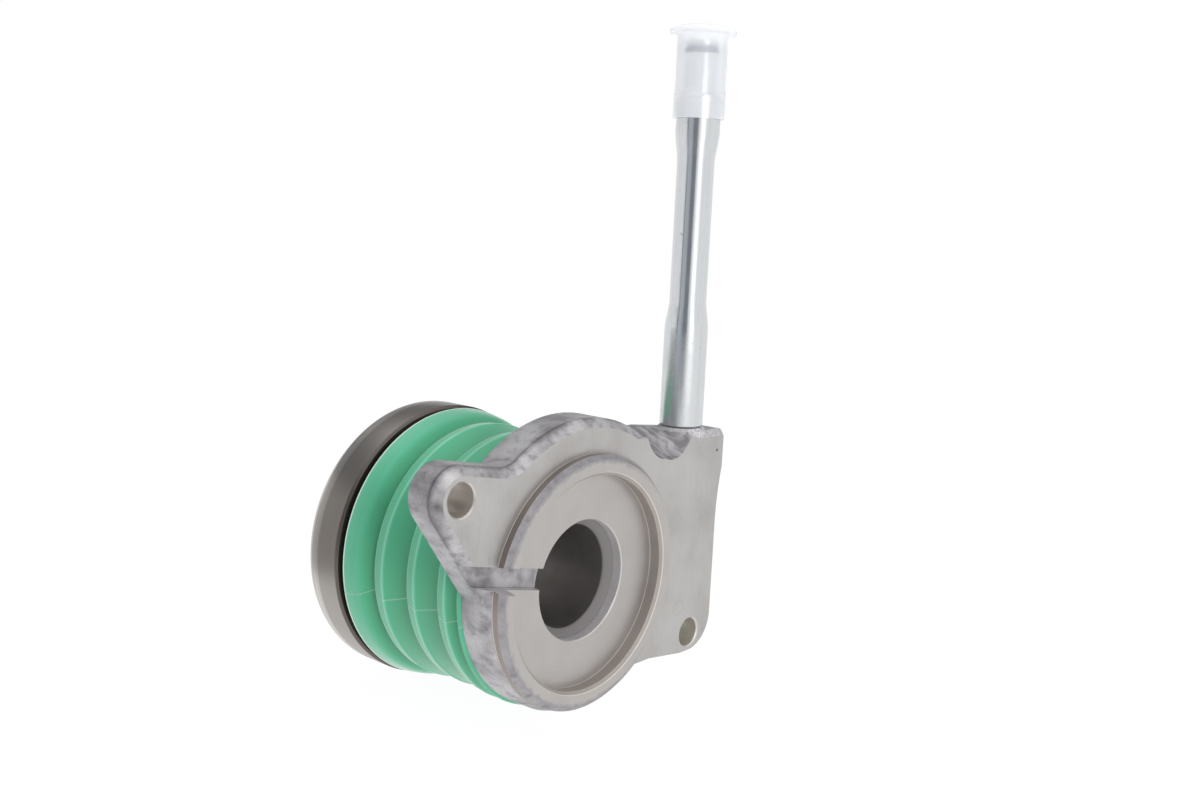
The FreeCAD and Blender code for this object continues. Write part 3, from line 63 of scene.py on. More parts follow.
class Finish:
    """A material that is put together node by node."""

    def __init__(self, name, colour, metallic=0.0, roughness=0.5):
        self.material = bpy.data.materials.new(name)
        self.material.use_nodes = True
        self.material.diffuse_color = colour
        self.tree = self.material.node_tree
        self.shader = self.tree.nodes["Principled BSDF"]
        self.set(self.shader, {"Base Color": colour, "Metallic": metallic, "Roughness": roughness})
        self.place = self.add("ShaderNodeTexCoord").outputs["Object"]
        self.spot = self.stretched((1, 1, 1))

    def set(self, node, inputs):
        for name, value in inputs.items():
            if isinstance(value, bpy.types.NodeSocket):
                self.tree.links.new(value, node.inputs[name])
            else:
                node.inputs[name].default_value = value

    def add(self, kind, inputs=None, **settings):
        node = self.tree.nodes.new(kind)
        for name, value in settings.items():
            setattr(node, name, value)
        self.set(node, inputs or {})
        return node

    def stretched(self, scale, turn=(0, 0, 0), start=(0, 0, 0)):
        """Object coordinates in millimetres, turned, and stretched by the scale."""
        per_mm = [value / MM for value in scale]
        node = self.add("ShaderNodeMapping", {"Vector": self.place, "Scale": per_mm, "Rotation": turn})
        node.inputs["Location"].default_value = start
        return node.outputs["Vector"]

    def noise(self, scale, detail=2.0, turn=(0, 0, 0), rough=0.5, start=(0, 0, 0), distortion=0.0):
        """Noise whose grains are about as many to the millimetre as the scale says."""
        inputs = {
            "Vector": self.stretched(scale, turn, start),
            "Scale": 1.0,
            "Detail": detail,
            "Roughness": rough,
            "Distortion": distortion,
        }
        return self.add("ShaderNodeTexNoise", inputs).outputs["Fac"]

    def about_bore(self):
        """Distance from the bore's axis and place along it, in millimetres."""
        parts = self.add("ShaderNodeSeparateXYZ", {"Vector": self.spot}).outputs
        flat = self.add("ShaderNodeCombineXYZ", {"X": parts["X"], "Z": parts["Z"]}).outputs[0]
        reach = self.add("ShaderNodeVectorMath", {0: flat}, operation="LENGTH").outputs["Value"]
        return reach, parts["Y"]

    def ramp(self, value, low, high, start=0.0, end=1.0):
        inputs = {"Value": value, "From Min": low, "From Max": high, "To Min": start, "To Max": end}
        return self.add("ShaderNodeMapRange", inputs, clamp=True).outputs["Result"]

    def blend(self, share, first, second, mode="MIX"):
        node = self.add("ShaderNodeMix", data_type="RGBA", blend_type=mode, clamp_factor=True)
        self.set(node, {"Factor": share})
        for number, value in ((6, first), (7, second)):
            if isinstance(value, bpy.types.NodeSocket):
                self.tree.links.new(value, node.inputs[number])
            else:
                node.inputs[number].default_value = value
        return node.outputs[2]

    def math(self, operation, first, second=0.0):
        return self.add("ShaderNodeMath", {0: first, 1: second}, operation=operation).outputs[0]

    def product(self, first, *others):
        for other in others:
            first = self.math("MULTIPLY", first, other)
        return first

    def near(self, value, middle, width):
        """1 where the value is the middle one, falling to 0 at the width from it."""
        return self.ramp(self.math("ABSOLUTE", self.math("SUBTRACT", value, middle)), 0, width, 1, 0)

    def patch(self, centre, size, soft=0.4):
        """1 around a spot of the object in millimetres, falling to 0 at the size from it."""
        gap = self.add("ShaderNodeVectorMath", {0: self.spot, 1: centre}, operation="DISTANCE")
        return self.ramp(gap.outputs["Value"], size * (1 - soft), size, 1, 0)

    def bump(self, height, depth):
        """Relief whose height of 1 stands that many millimetres proud."""
        inputs = {"Height": height, "Distance": depth * MM, "Strength": 1.0}
        return self.add("ShaderNodeBump", inputs).outputs["Normal"]

    def dress(self, **inputs):
        names = {"colour": "Base Color", "roughness": "Roughness", "normal": "Normal"}
        self.set(self.shader, {names[name]: value for name, value in inputs.items()})
        return self.material


PARTING_LINE = 2.5


def cast_skin():
    """Die-cast skin: soft grey clouds and smears, a blurred parting line, rubbed spots and pits."""
    skin = Finish("cast_aluminium_skin", paint(160, 157, 160), metallic=0.6, roughness=0.5)
    reach, along = skin.about_bore()
    cloud = skin.noise((0.1, 0.1, 0.1), detail=3)
    smear = skin.noise((0.4, 0.26, 0.4), detail=4, rough=0.55)
    grain = skin.noise((2.6, 2.6, 2.6), detail=3, rough=0.6)
    tone = skin.blend(skin.ramp(cloud, 0.36, 0.64), paint(198, 196, 198), paint(164, 161, 165))
    tone = skin.blend(skin.ramp(smear, 0.5, 0.74, 0, 0.75), tone, paint(120, 117, 122))
    tone = skin.blend(skin.ramp(smear, 0.44, 0.3, 0, 0.35), tone, paint(212, 210, 212))
    tone = skin.blend(skin.ramp(grain, 0.52, 0.7, 0, 0.3), tone, paint(128, 125, 129))
    parts = skin.add("ShaderNodeSeparateXYZ", {"Vector": skin.spot}).outputs
    across, up = parts["X"], parts["Z"]
    outside = skin.product(skin.ramp(reach, 36, 38), skin.ramp(up, 0, 6), skin.ramp(across, 16, 12))
    spigot_slope = skin.product(
        skin.ramp(reach, 34.3, 33.9), skin.ramp(along, 0.5, -0.5, 0, 0.45), skin.ramp(across, 20, 8)
    )
    tone = skin.blend(spigot_slope, tone, paint(124, 121, 126))
    rough_edge = skin.product(
        skin.ramp(across, 43, 46),
        skin.ramp(up, 28, 30),
        skin.ramp(along, 4.5, 2.5),
        skin.ramp(grain, 0.6, 0.4, 0.1, 0.9),
    )
    tone = skin.blend(rough_edge, tone, paint(236, 234, 238))
    parting = skin.product(
        skin.near(along, PARTING_LINE, 1.0), outside, skin.ramp(cloud, 0.34, 0.5, 0.15, 0.75)
    )
    tone = skin.blend(parting, tone, paint(92, 89, 94))
    for centre, size, colour in (
        ((-48.4, 0.8, 33.4), 2.6, paint(214, 212, 211)),
        ((-23.7, 1.0, 35.9), 1.9, paint(208, 206, 206)),
    ):
        rubbed = skin.math("MULTIPLY", skin.patch(centre, size, 0.6), skin.ramp(grain, 0.4, 0.58, 0.2, 0.9))
        tone = skin.blend(rubbed, tone, colour)
    for centre, size, soft, colour in (
        ((-51.5, 1.2, 27.7), 2.2, 0.9, paint(112, 109, 111)),
        ((-21.6, 1.2, 38.3), 0.4, 0.4, paint(60, 58, 60)),
        ((-13.3, 1.0, 41.0), 0.35, 0.4, paint(60, 58, 60)),
        ((-34.7, 1.5, -9.9), 0.55, 0.4, paint(70, 68, 70)),
        ((-22.2, -2.6, 23.4), 0.45, 0.4, paint(60, 58, 60)),
    ):
        tone = skin.blend(skin.patch(centre, size, soft), tone, colour)
    relief = skin.math("ADD", skin.math("MULTIPLY", smear, 0.8), skin.math("MULTIPLY", grain, 0.2))
    relief = skin.math("SUBTRACT", relief, skin.math("MULTIPLY", parting, 0.6))
    return skin.dress(
        colour=tone,
        roughness=skin.ramp(grain, 0.3, 0.7, 0.44, 0.6),
        normal=skin.bump(relief, 0.1),
    )


def milled_face():
    """Milled face: even and faintly warm, with upright rub marks, a pit, an ejector's ring, and painted
    shade round the spigot's foot.
    """
    face = Finish("milled_aluminium", paint(184, 181, 179), metallic=0.7, roughness=0.42)
    reach, along = face.about_bore()
    cloud = face.noise((0.06, 0.06, 0.06), detail=3)
    rubbed = face.noise((0.9, 1.0, 0.08), detail=5, rough=0.65)
    fleck = face.noise((1.6, 1.6, 1.6), detail=4, rough=0.7)
    tone = face.blend(face.ramp(cloud, 0.35, 0.7), paint(188, 186, 184), paint(176, 173, 171))
    tone = face.blend(face.ramp(rubbed, 0.54, 0.74, 0, 0.24), tone, paint(150, 148, 147))
    tone = face.blend(face.ramp(fleck, 0.56, 0.72, 0, 0.3), tone, paint(152, 150, 149))
    # Painted shade: a soft darker ring on the face round the spigot's foot, a painted contact shadow.
    tone = face.blend(face.math("MULTIPLY", face.near(reach, 34.0, 1.3), 0.3), tone, paint(130, 126, 125))
    ejector = face.add("ShaderNodeVectorMath", {0: face.spot, 1: (42.3, 0, -16.7)}, operation="DISTANCE")
    ejector = face.near(ejector.outputs["Value"], 2.3, 0.22)
    scratch = face.noise((2.6, 1.0, 0.16), detail=2, turn=(0, 0.22, 0))
    scratch = face.math("MULTIPLY", face.near(scratch, 0.5, 0.012), face.ramp(cloud, 0.5, 0.56))
    marks = face.math("MAXIMUM", face.math("MULTIPLY", ejector, 0.22), face.math("MULTIPLY", scratch, 0.4))
    tone = face.blend(marks, tone, paint(112, 108, 106))
    tone = face.blend(face.patch((57.1, 0, 28.3), 0.5), tone, paint(60, 57, 56))
    relief = face.math("SUBTRACT", fleck, face.math("MULTIPLY", marks, 2.0))
    return face.dress(
        colour=tone,
        roughness=face.ramp(fleck, 0.3, 0.7, 0.36, 0.5),
        normal=face.bump(relief, 0.02),
    )


def slot_skin():
    """The drain slot: smoother skin with soft dark clouds on its floor, and walls painted paler as painted
    light.
    """
    skin = Finish("slot_skin", paint(192, 190, 192), metallic=0.5, roughness=0.5)
    cloud = skin.noise((0.22, 0.22, 0.22), detail=3)
    # Painted light: the walls are painted paler than the floor, as if lit.
    painted_light_walls = skin.ramp(skin.about_bore()[1], 2.6, 2.2)
    tone = skin.blend(skin.ramp(cloud, 0.42, 0.66), paint(180, 178, 180), paint(132, 129, 133))
    tone = skin.blend(painted_light_walls, tone, paint(202, 200, 202))
    return skin.dress(colour=tone, normal=skin.bump(cloud, 0.1))


def dish_skin():
    """The hollow in front of the pipe: dark swirls left by the flow of the metal."""
    skin = Finish("dish_skin", paint(150, 148, 151), metallic=0.6, roughness=0.5)
    swirl = skin.noise((0.28, 0.14, 0.2), detail=4, turn=(0, 0.7, 0), distortion=0.7)
    tone = skin.blend(skin.ramp(swirl, 0.4, 0.62), paint(188, 186, 189), paint(132, 129, 133))
    return skin.dress(colour=tone, normal=skin.bump(swirl, 0.15))


class Turned(Finish):
    """Turned metal: rings left by the tool about the bore, and clouds."""

    def __init__(self, name, colour, shade, roughness=0.38, rings=0.35, metallic=0.8):
        super().__init__(name, colour, metallic, roughness)
        self.reach, self.along = self.about_bore()
        feed = self.add(
            "ShaderNodeCombineXYZ",
            {"X": self.math("MULTIPLY", self.reach, 5.0), "Y": self.math("MULTIPLY", self.along, 5.0)},
        ).outputs[0]
        ring = self.add("ShaderNodeTexNoise", {"Vector": feed, "Scale": 1.0, "Detail": 3.0}).outputs["Fac"]
        cloud = self.noise((0.12, 0.12, 0.12), detail=3)
        tone = self.blend(self.ramp(ring, 0.35, 0.7, 0, rings), colour, shade)
        self.tone = self.blend(self.ramp(cloud, 0.4, 0.7, 0, 0.35), tone, shade)
        self.dress(colour=self.tone, normal=self.bump(ring, 0.008))

    def mark(self, share, colour):
        """Paint a colour over the turned tone, where the share is 1."""
        self.tone = self.blend(share, self.tone, colour)
        self.dress(colour=self.tone)
        return self


def turned_front():
    """The spigot's end and the recess floor, with the torn border of the cast slope at the left."""
    colour, shade = paint(186, 182, 179), paint(172, 168, 165)
    front = Turned("turned_aluminium", colour, shade, roughness=0.44, rings=0.25)
    torn = front.noise((0.7, 0.7, 0.7), detail=4)
    border = front.math("ADD", front.reach, front.ramp(torn, 0.3, 0.7, -0.5, 0.5))
    proud = front.ramp(front.along, -2.0, -2.9)
    across = front.add("ShaderNodeSeparateXYZ", {"Vector": front.spot}).outputs["X"]
    cast = front.product(front.ramp(border, 31.6, 32.4), proud, front.ramp(across, 26, 10))
    front.mark(cast, paint(160, 157, 160))
    return front.material


def spigot_wall():
    """The spigot's wall: browner, with a painted highlight, a thin bright line at its foot where the
    cutter's corner left a small round.
    """
    wall = Turned("turned_spigot", paint(158, 148, 143), paint(138, 129, 124))
    # The bright line at the wall's foot is a painted highlight.
    return wall.mark(wall.ramp(wall.along, -0.26, -0.16), paint(248, 244, 238)).material


def recess_wall():
    """The recess wall: darker and browner, with the same painted highlight, a thin bright line at its foot.
    """
    wall = Turned("turned_recess", paint(186, 177, 172), paint(168, 160, 156), roughness=0.5)
    # The bright line at the wall's foot is a painted highlight.
    return wall.mark(wall.ramp(wall.along, 0.66, 0.76), paint(244, 240, 235)).material


def recess_rim():
    """The bevelled rim of the recess, with a painted highlight, a thin bright line where it meets the
    spigot's end.
    """
    rim = Turned("turned_rim", paint(186, 179, 173), paint(170, 163, 158), roughness=0.6)
    # The bright line at the rim's outer edge is a painted highlight.
    return rim.mark(rim.ramp(rim.along, -2.98, -3.08), paint(232, 225, 218)).material


def entry_wall():
    """The short wall between the recess and the sleeve, as cast and only skimmed."""
    colour, shade = paint(222, 219, 222), paint(198, 195, 198)
    wall = Turned("skimmed_entry", colour, shade, roughness=0.55, metallic=0.25)
    fleck = wall.noise((1.1, 1.1, 1.1), detail=4, rough=0.6)
    return wall.mark(wall.ramp(fleck, 0.52, 0.66, 0, 0.5), paint(232, 230, 232)).material


bright_edge = Finish("cut_edge", paint(210, 206, 203), metallic=0.6, roughness=0.32).material
drilled_bore = Turned(
    "drilled_bore", paint(206, 197, 189), paint(170, 161, 154), roughness=0.42, metallic=0.45
).material
casting_finishes = {
    "skin": cast_skin(),
    "slot": slot_skin(),
    "dish": dish_skin(),
    "milled": milled_face(),
    "turned": turned_front(),
    "spigot": spigot_wall(),
    "wall": recess_wall(),
    "rim": recess_rim(),
    "entry": entry_wall(),
    "bore": drilled_bore,
    "edge": bright_edge,
}


DISH_RADIUS = 9.4
DISH_SLOPE = math.radians(27)
DISHES = ((35.6, 38.6), (32.8, 39.2))
SLOT_ANGLE = math.radians(167.8)
SLOT_OUT = (math.cos(SLOT_ANGLE), math.sin(SLOT_ANGLE))
SLOT_FLOOR = 2.8
SLOT_HALF_WIDTH = 3.95
SCREW_HOLES = ((-45.0, 28.4), (48.1, -25.4))
SCREW_HOLE_EDGE = 4.65
SPIGOT_RADIUS = 34
SPIGOT_END = -3.2
RECESS_FLOOR = 0.9
ENTRY_RADIUS = 16.6


def from_hollow(hollow, x, y, z):
    """Distance from the sloping axis of a hollow, given by where it meets the face."""
    rise = (z - hollow[1]) * math.cos(DISH_SLOPE) - y * math.sin(DISH_SLOPE)
    return math.hypot(x - hollow[0], rise)


def hollow_cutter(hollow):
    """A long round bar on the hollow's axis, starting in front of the face."""
    bm = bmesh.new()
    radius = DISH_RADIUS * MM
    bmesh.ops.create_cone(bm, cap_ends=True, segments=128, radius1=radius, radius2=radius, depth=60 * MM)
    slope = Matrix.Rotation(DISH_SLOPE - math.pi / 2, 3, "X")
    bmesh.ops.rotate(bm, cent=(0, 0, 0), matrix=slope, verts=bm.verts)
    bmesh.ops.translate(bm, verts=bm.verts, vec=(hollow[0] * MM, 0, hollow[1] * MM))
    mesh = bpy.data.meshes.new("hollow_cutter")
    bm.to_mesh(mesh)
    bm.free()
    cutter = bpy.data.objects.new("hollow_cutter", mesh)
    bpy.context.scene.collection.objects.link(cutter)
    return cutter


def smooth_copy(name, node, cutter=None, crease=28):
    """The node's own mesh, welded, cut and shaded smooth up to its creases."""
    mesh = bpy.data.meshes.new(name)
    bm = bmesh.new()
    bm.from_mesh(nodes[node].data)
    bmesh.ops.remove_doubles(bm, verts=bm.verts, dist=0.002 * MM)
    bmesh.ops.dissolve_degenerate(bm, edges=bm.edges, dist=0.001 * MM)
    if cutter:
        bm.to_mesh(mesh)
        whole = bpy.data.objects.new("whole_casting", mesh)
        bpy.context.scene.collection.objects.link(whole)
        cut = whole.modifiers.new("hollow", "BOOLEAN")
        cut.operation = "DIFFERENCE"
        cut.solver = "EXACT"
        cut.object = cutter
        graph = bpy.context.evaluated_depsgraph_get()
        mesh = bpy.data.meshes.new_from_object(whole.evaluated_get(graph))
        mesh.name = name
        bpy.data.objects.remove(whole)
        bpy.data.objects.remove(cutter)
        bm.clear()
        bm.from_mesh(mesh)
    for face in bm.faces:
        face.smooth = True
    for edge in bm.edges:
        if len(edge.link_faces) != 2 or edge.calc_face_angle() > math.radians(crease):
            edge.smooth = False
    bm.to_mesh(mesh)
    bm.free()
    piece = bpy.data.objects.new(name, mesh)
    bpy.context.scene.collection.objects.link(piece)
    return piece


def casting_finish(face):
    """Which finish the casting has at a face, from where the face is and which way it points."""
    x, y, z = (value / MM for value in face.center)
    reach = math.hypot(x, z)
    inwards = face.normal.x * x + face.normal.z * z < 0
    front = face.normal.y < -0.98
    upright = abs(face.normal.y) < 0.1
    from_hole = min(math.hypot(x - across, z - up) for across, up in SCREW_HOLES)
    if from_hole < SCREW_HOLE_EDGE:
        return "bore" if upright else "edge"
    if front and abs(y) < 0.05:
        return "milled"
    if any(abs(from_hollow(hollow, x, y, z) - DISH_RADIUS) < 0.12 for hollow in DISHES) and y < 12:
        return "dish"
    down = x * SLOT_OUT[1] - z * SLOT_OUT[0]
    slot_wall = abs(face.normal.x * SLOT_OUT[1] - face.normal.z * SLOT_OUT[0]) > 0.6
    in_slot = x < -15 and abs(down) < SLOT_HALF_WIDTH and y < SLOT_FLOOR + 0.1 and reach < 46
    if in_slot and (slot_wall or front and y > SLOT_FLOOR - 0.2):
        return "slot"
    if front and min(abs(y - RECESS_FLOOR), abs(y - SPIGOT_END)) < 0.05 and reach < SPIGOT_RADIUS:
        return "turned"
    if x > 12 and SPIGOT_END - 0.1 < y < 0 and 29.7 < reach < SPIGOT_RADIUS and not upright:
        return "turned"
    if 28.5 < reach < 29.7 and inwards and y < 1:
        return "wall" if upright else "rim"
    if upright and abs(reach - SPIGOT_RADIUS) < 0.1 and -2.05 < y < 0.05:
        return "spigot"
    if reach < ENTRY_RADIUS and 0.85 < y < 1.2 and not upright and not front:
        return "edge"
    if reach < ENTRY_RADIUS and 0.85 < y < 3.9 and upright:
        return "entry"
    if ENTRY_RADIUS < reach < 22.6 and y > 10:
        return "bore"
    return "skin"


casting = smooth_copy("casting", "housing", hollow_cutter(DISHES[1]))
finish_names = list(casting_finishes)
for finish in casting_finishes.values():
    casting.data.materials.append(finish)
for face in casting.data.polygons:
    face.material_index = finish_names.index(casting_finish(face))
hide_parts("housing")
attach(casting, "housing")


# Guide sleeve and its rings
# A steel tube pressed into the casting. A seal ring sits under it, and an open spring ring near its
# end stops the piston.
def turned(name, corners, steps=192, centre=None):
    """A ring turned from its section. A corner is radius and height in millimetres, and may have a round.

    The turning axis is the bore's, or with a centre an upright one through that point."""
    bm = bmesh.new()
    rounds = {}
    for radius, height, *corner_round in corners:
        spot = (radius * MM, height * MM, 0) if centre is None else (radius * MM, 0, height * MM)
        vertex = bm.verts.new(spot)
        if radius > 0:
            rounds.setdefault(corner_round[0] if corner_round else 0.12, []).append(vertex)
    bm.faces.new(bm.verts)
    for size, vertices in rounds.items():
        if size > 0:
            bmesh.ops.bevel(
                bm,
                geom=vertices,
                offset=size * MM,
                offset_type="OFFSET",
                affect="VERTICES",
                segments=3 if size < 0.6 else 6 if size < 2 else 14,
                profile=0.5,
                material=-1,
                clamp_overlap=True,
            )
    bmesh.ops.delete(bm, geom=bm.faces[:], context="FACES_ONLY")
    bmesh.ops.spin(
        bm,
        geom=bm.verts[:] + bm.edges[:],
        cent=(0, 0, 0),
        axis=(0, 1, 0) if centre is None else (0, 0, 1),
        dvec=(0, 0, 0),
        angle=math.tau,
        steps=steps,
        use_merge=True,
        use_normal_flip=False,
        use_duplicate=False,
    )
    bmesh.ops.remove_doubles(bm, verts=bm.verts, dist=0.001 * MM)
    bmesh.ops.dissolve_degenerate(bm, edges=bm.edges, dist=0.0005 * MM)
    if centre:
        bmesh.ops.translate(bm, verts=bm.verts, vec=Vector((*centre, 0)) * MM)
    return shaped(name, bm)


def shaped(name, bm, crease=35):
    """Close the bmesh into a piece that is shaded smooth up to its creases."""
    bmesh.ops.recalc_face_normals(bm, faces=bm.faces)
    for face in bm.faces:
        face.smooth = True
    for edge in bm.edges:
        edge.smooth = len(edge.link_faces) == 2 and edge.calc_face_angle() < math.radians(crease)
    mesh = bpy.data.meshes.new(name)
    bm.to_mesh(mesh)
    bm.free()
    piece = bpy.data.objects.new(name, mesh)
    bpy.context.scene.collection.objects.link(piece)
    return piece


def fit(piece, finish, body, slot, *replaced):
    """Give a piece its finish, the body that it moves with, and the nodes that it stands for."""
    piece.data.materials.append(finish)
    if replaced:
        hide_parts(*replaced)
    if body:
        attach(piece, body)
    return piece


sleeve_colour, sleeve_shade = paint(168, 164, 162), paint(120, 117, 116)
sleeve = Turned("drawn_sleeve_steel", sleeve_colour, sleeve_shade, roughness=0.34, rings=0.6)
FLARE_END = 6.0
mouth = sleeve.ramp(sleeve.along, FLARE_END + 0.1, FLARE_END - 0.1)
sleeve_steel = sleeve.mark(mouth, paint(140, 136, 136)).material
sleeve.set(sleeve.shader, {"Roughness": sleeve.ramp(mouth, 0, 1, 0.34, 0.6)})
sleeve.set(sleeve.shader, {"Metallic": sleeve.ramp(mouth, 0, 1, 0.8, 0.35)})
sleeve_corners = [
    (16.0, 3.8, 0.05), (16.15, 3.8, 0.05), (16.15, 4.4), (15.5, 5.0), (15.5, 56.0, 0.05),
    (15.0, 56.0, 0.05), (15.0, 57.3, 0.05), (15.5, 57.3, 0.05), (15.5, 59.0, 0.3), (14.0, 59.0, 0.3),
    (14.0, 5.8, 0.4),
]
fit(turned("sleeve", sleeve_corners), sleeve_steel, "housing", "tube_steel", "guide_sleeve")


def black_rubber(name, colour=paint(34, 34, 35)):
    """Smooth moulded rubber with a slight bloom."""
    rubber = Finish(name, colour, roughness=0.5)
    bloom = rubber.noise((0.8, 0.8, 0.8), detail=3)
    return rubber.dress(
        colour=rubber.blend(rubber.ramp(bloom, 0.4, 0.7, 0, 0.3), colour, paint(62, 62, 64)),
        roughness=rubber.ramp(bloom, 0.3, 0.7, 0.42, 0.6),
    )


def plain_steel(name, colour, shade, roughness=0.3):
    """Steel with a fine even grain and faint clouds."""
    steel = Finish(name, colour, metallic=0.9, roughness=roughness)
    cloud = steel.noise((0.25, 0.25, 0.25), detail=3)
    grain = steel.noise((5, 5, 5), detail=2)
    return steel.dress(
        colour=steel.blend(steel.ramp(cloud, 0.35, 0.7, 0, 0.8), colour, shade),
        roughness=steel.ramp(grain, 0.3, 0.7, roughness - 0.06, roughness + 0.1),
        normal=steel.bump(grain, 0.006),
    )


seal_rubber = black_rubber("seal_rubber")
spring_steel = plain_steel("spring_steel", paint(120, 118, 116), paint(88, 86, 85))


def carry_over(node, finish):
    """Keep a CAD node and give it its finish."""
    slots = nodes[node].data.materials
    slots.clear()
    slots.append(finish)


carry_over("sleeve_o_ring", seal_rubber)
carry_over("piston_stop_ring", spring_steel)


# Piston
# A glass-filled moulding that slides on the sleeve. Its wide flange carries the bearing, and a lip
# seal on its tongue holds the oil.
piston_plastic = Finish("glass_filled_plastic", paint(44, 44, 46), roughness=0.5)
fibre = piston_plastic.noise((2.5, 2.5, 2.5), detail=4)
fibre_share = piston_plastic.ramp(fibre, 0.45, 0.7)
piston_plastic.dress(
    colour=piston_plastic.blend(fibre_share, paint(40, 40, 42), paint(62, 62, 64)),
    normal=piston_plastic.bump(fibre, 0.02),
)
piston_corners = [
    (15.55, 29.0), (17.8, 29.0), (17.8, 26.9), (19.8, 26.9), (19.8, 29.0), (21.95, 29.0),
    (21.95, 49.0), (37.2, 49.0), (37.2, 52.0), (21.95, 52.0), (21.95, 53.2, 0.05), (21.25, 53.2, 0.05),
    (21.25, 54.4, 0.05), (21.95, 54.4, 0.05), (21.95, 54.8), (21.15, 55.6), (15.55, 55.6),
]
moulding = turned("piston_moulding", piston_corners)
fit(moulding, piston_plastic.material, "piston", "piston_polymer", "piston")
carry_over("piston_seal", seal_rubber)


# Preload spring and its seats
# A coil of round wire that keeps the bearing against the clutch. It stands on a steel ring over the
# boot's foot and pushes on a second one under the piston's flange.
zinc_sheet = plain_steel("zinc_plated_sheet", paint(188, 190, 192), paint(160, 162, 166))
carry_over("boot_foot_ring", zinc_sheet)
seat_corners = [(27.2, 47.8), (36.8, 47.8), (36.8, 49.0), (27.2, 49.0)]
fit(turned("spring_cup", seat_corners), zinc_sheet, "piston", "zinc_steel", "spring_seat")

SPRING_LOW, SPRING_HIGH = 13.2, 46.5
SPRING_TURNS = 4.6
SPRING_STEPS = 260
bm = bmesh.new()
rim = bmesh.ops.create_circle(bm, cap_ends=True, cap_tris=False, segments=16, radius=1.3 * MM)["verts"]
bmesh.ops.translate(bm, verts=rim, vec=(29.4 * MM, SPRING_LOW * MM, 0))
bmesh.ops.spin(
    bm,
    geom=bm.verts[:] + bm.edges[:] + bm.faces[:],
    cent=(0, 0, 0),
    axis=(0, 1, 0),
    dvec=(0, (SPRING_HIGH - SPRING_LOW) / SPRING_STEPS * MM, 0),
    angle=math.tau * SPRING_TURNS,
    steps=SPRING_STEPS,
    use_merge=False,
    use_normal_flip=False,
    use_duplicate=False,
)
spring = fit(shaped("spring_coil", bm), spring_steel, None, "spring_steel", "preload_spring")
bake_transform(spring)


# Dust boot
# A moulded rubber bellows. Each fold climbs slowly to its crest and drops back behind it, and the
# lip at the bearing end is stretched over the piston's flange.
def boot_rubber(name, tones):
    """Matt green rubber: painted shade deep in each fold, a painted highlight on each bead, and the thin
    line of the mould's seam.
    """
    rubber = Finish(name, tones[1], roughness=0.42)
    reach, along = rubber.about_bore()
    cloud = rubber.noise((0.05, 0.05, 0.05), detail=2)
    grain = rubber.noise((6, 6, 6), detail=2)
    fold_shade = rubber.add("ShaderNodeAttribute", attribute_name="fold_shade").outputs["Fac"]
    # The fold value paints shade into the folds and a highlight onto the beads.
    tone = rubber.blend(rubber.ramp(fold_shade, 0, 0.4), tones[0], tones[1])
    tone = rubber.blend(rubber.ramp(fold_shade, 0.4, 0.65), tone, tones[2])
    tone = rubber.blend(rubber.ramp(fold_shade, 0.7, 0.95), tone, tones[3])
    tone = rubber.blend(rubber.ramp(cloud, 0.35, 0.7, 0, 0.2), tone, tones[0])
    from_seam = rubber.add("ShaderNodeAttribute", attribute_name="from_seam").outputs["Fac"]
    seam = rubber.near(from_seam, 0, 0.28)
    tone = rubber.blend(rubber.math("MULTIPLY", seam, 0.5), tone, paint(172, 216, 196))
    rubber.set(rubber.shader, {"Subsurface Weight": 0.15, "Subsurface Scale": 1.5 * MM})
    rubber.set(rubber.shader, {"Sheen Weight": 0.8, "Sheen Roughness": 0.4})
    return rubber.dress(
        colour=tone,
        roughness=rubber.ramp(grain, 0.3, 0.7, 0.36, 0.48),
        normal=rubber.bump(rubber.math("ADD", grain, rubber.math("MULTIPLY", seam, 10)), 0.008),
    )


def knots(height, line):
    """The value of a broken line, given as places along the bore and values there."""
    for (low, first), (high, second) in zip(line, line[1:]):
        if low <= height <= high:
            return first + (second - first) * (height - low) / (high - low)
    return line[0][1] if height < line[0][0] else line[-1][1]


boot_corners = [
    (35.3, 9.5, 0.3), (36.1, 10.3, 0.5), (33.8, 11.8, 0.5),
    (35.5, 14.5, 0.2), (35.95, 15.1, 0.3), (35.7, 15.9, 0.2), (35.6, 17.9, 0.5), (33.4, 19.1, 0.5),
    (35.1, 26.4, 0.2), (35.55, 27.0, 0.3), (35.3, 27.8, 0.2), (35.2, 30.0, 0.5), (33.0, 31.2, 0.5),
    (35.8, 38.0, 0.2), (36.25, 38.6, 0.3), (36.0, 39.4, 0.2), (35.9, 41.9, 0.5), (33.8, 43.3, 0.5),
    (37.7, 46.2, 1.6), (38.55, 51.1, 0.03), (38.65, 51.5, 0.05), (38.4, 51.7, 0.05),
    (37.32, 51.7, 0.2), (37.32, 47.7), (34.8, 47.7), (34.8, 46.4, 0.5),
    (32.5, 43.3, 0.5), (34.8, 41.6, 0.5), (31.8, 31.0, 0.5), (34.0, 29.6, 0.5),
    (32.2, 18.9, 0.5), (34.4, 17.5, 0.5), (32.5, 11.8, 0.3), (32.5, 11.0, 0.3), (26.6, 11.0, 0.3),
    (26.6, 9.5, 0.3),
]
# Painted shade and light along the bore, from 0 for painted shade deep in a fold to 1 for a painted
# highlight on a bead, and the seam's rise there.
fold_shading = [(10.3, 0.6), (11.8, 0.0)]
seam_rise = [(10.3, 0.0), (11.8, 0.6)]
for bead, low in ((15.1, 19.1), (27.0, 31.2), (38.6, 43.3)):
    fold_shading += [(bead - 0.7, 0.4), (bead, 1.0), (bead + 0.6, 0.62), (low - 1.3, 0.5), (low, 0.0)]
    seam_rise += [(bead, 0.0), (low, 1.4)]
fold_shading += [(45.2, 0.3), (47.2, 0.68), (51.0, 0.76)]
seam_rise += [(46.5, 0.4), (51.0, 0.0)]
SEAM = math.radians(191.5)
LIP_EDGE = (38.3, 51.15)
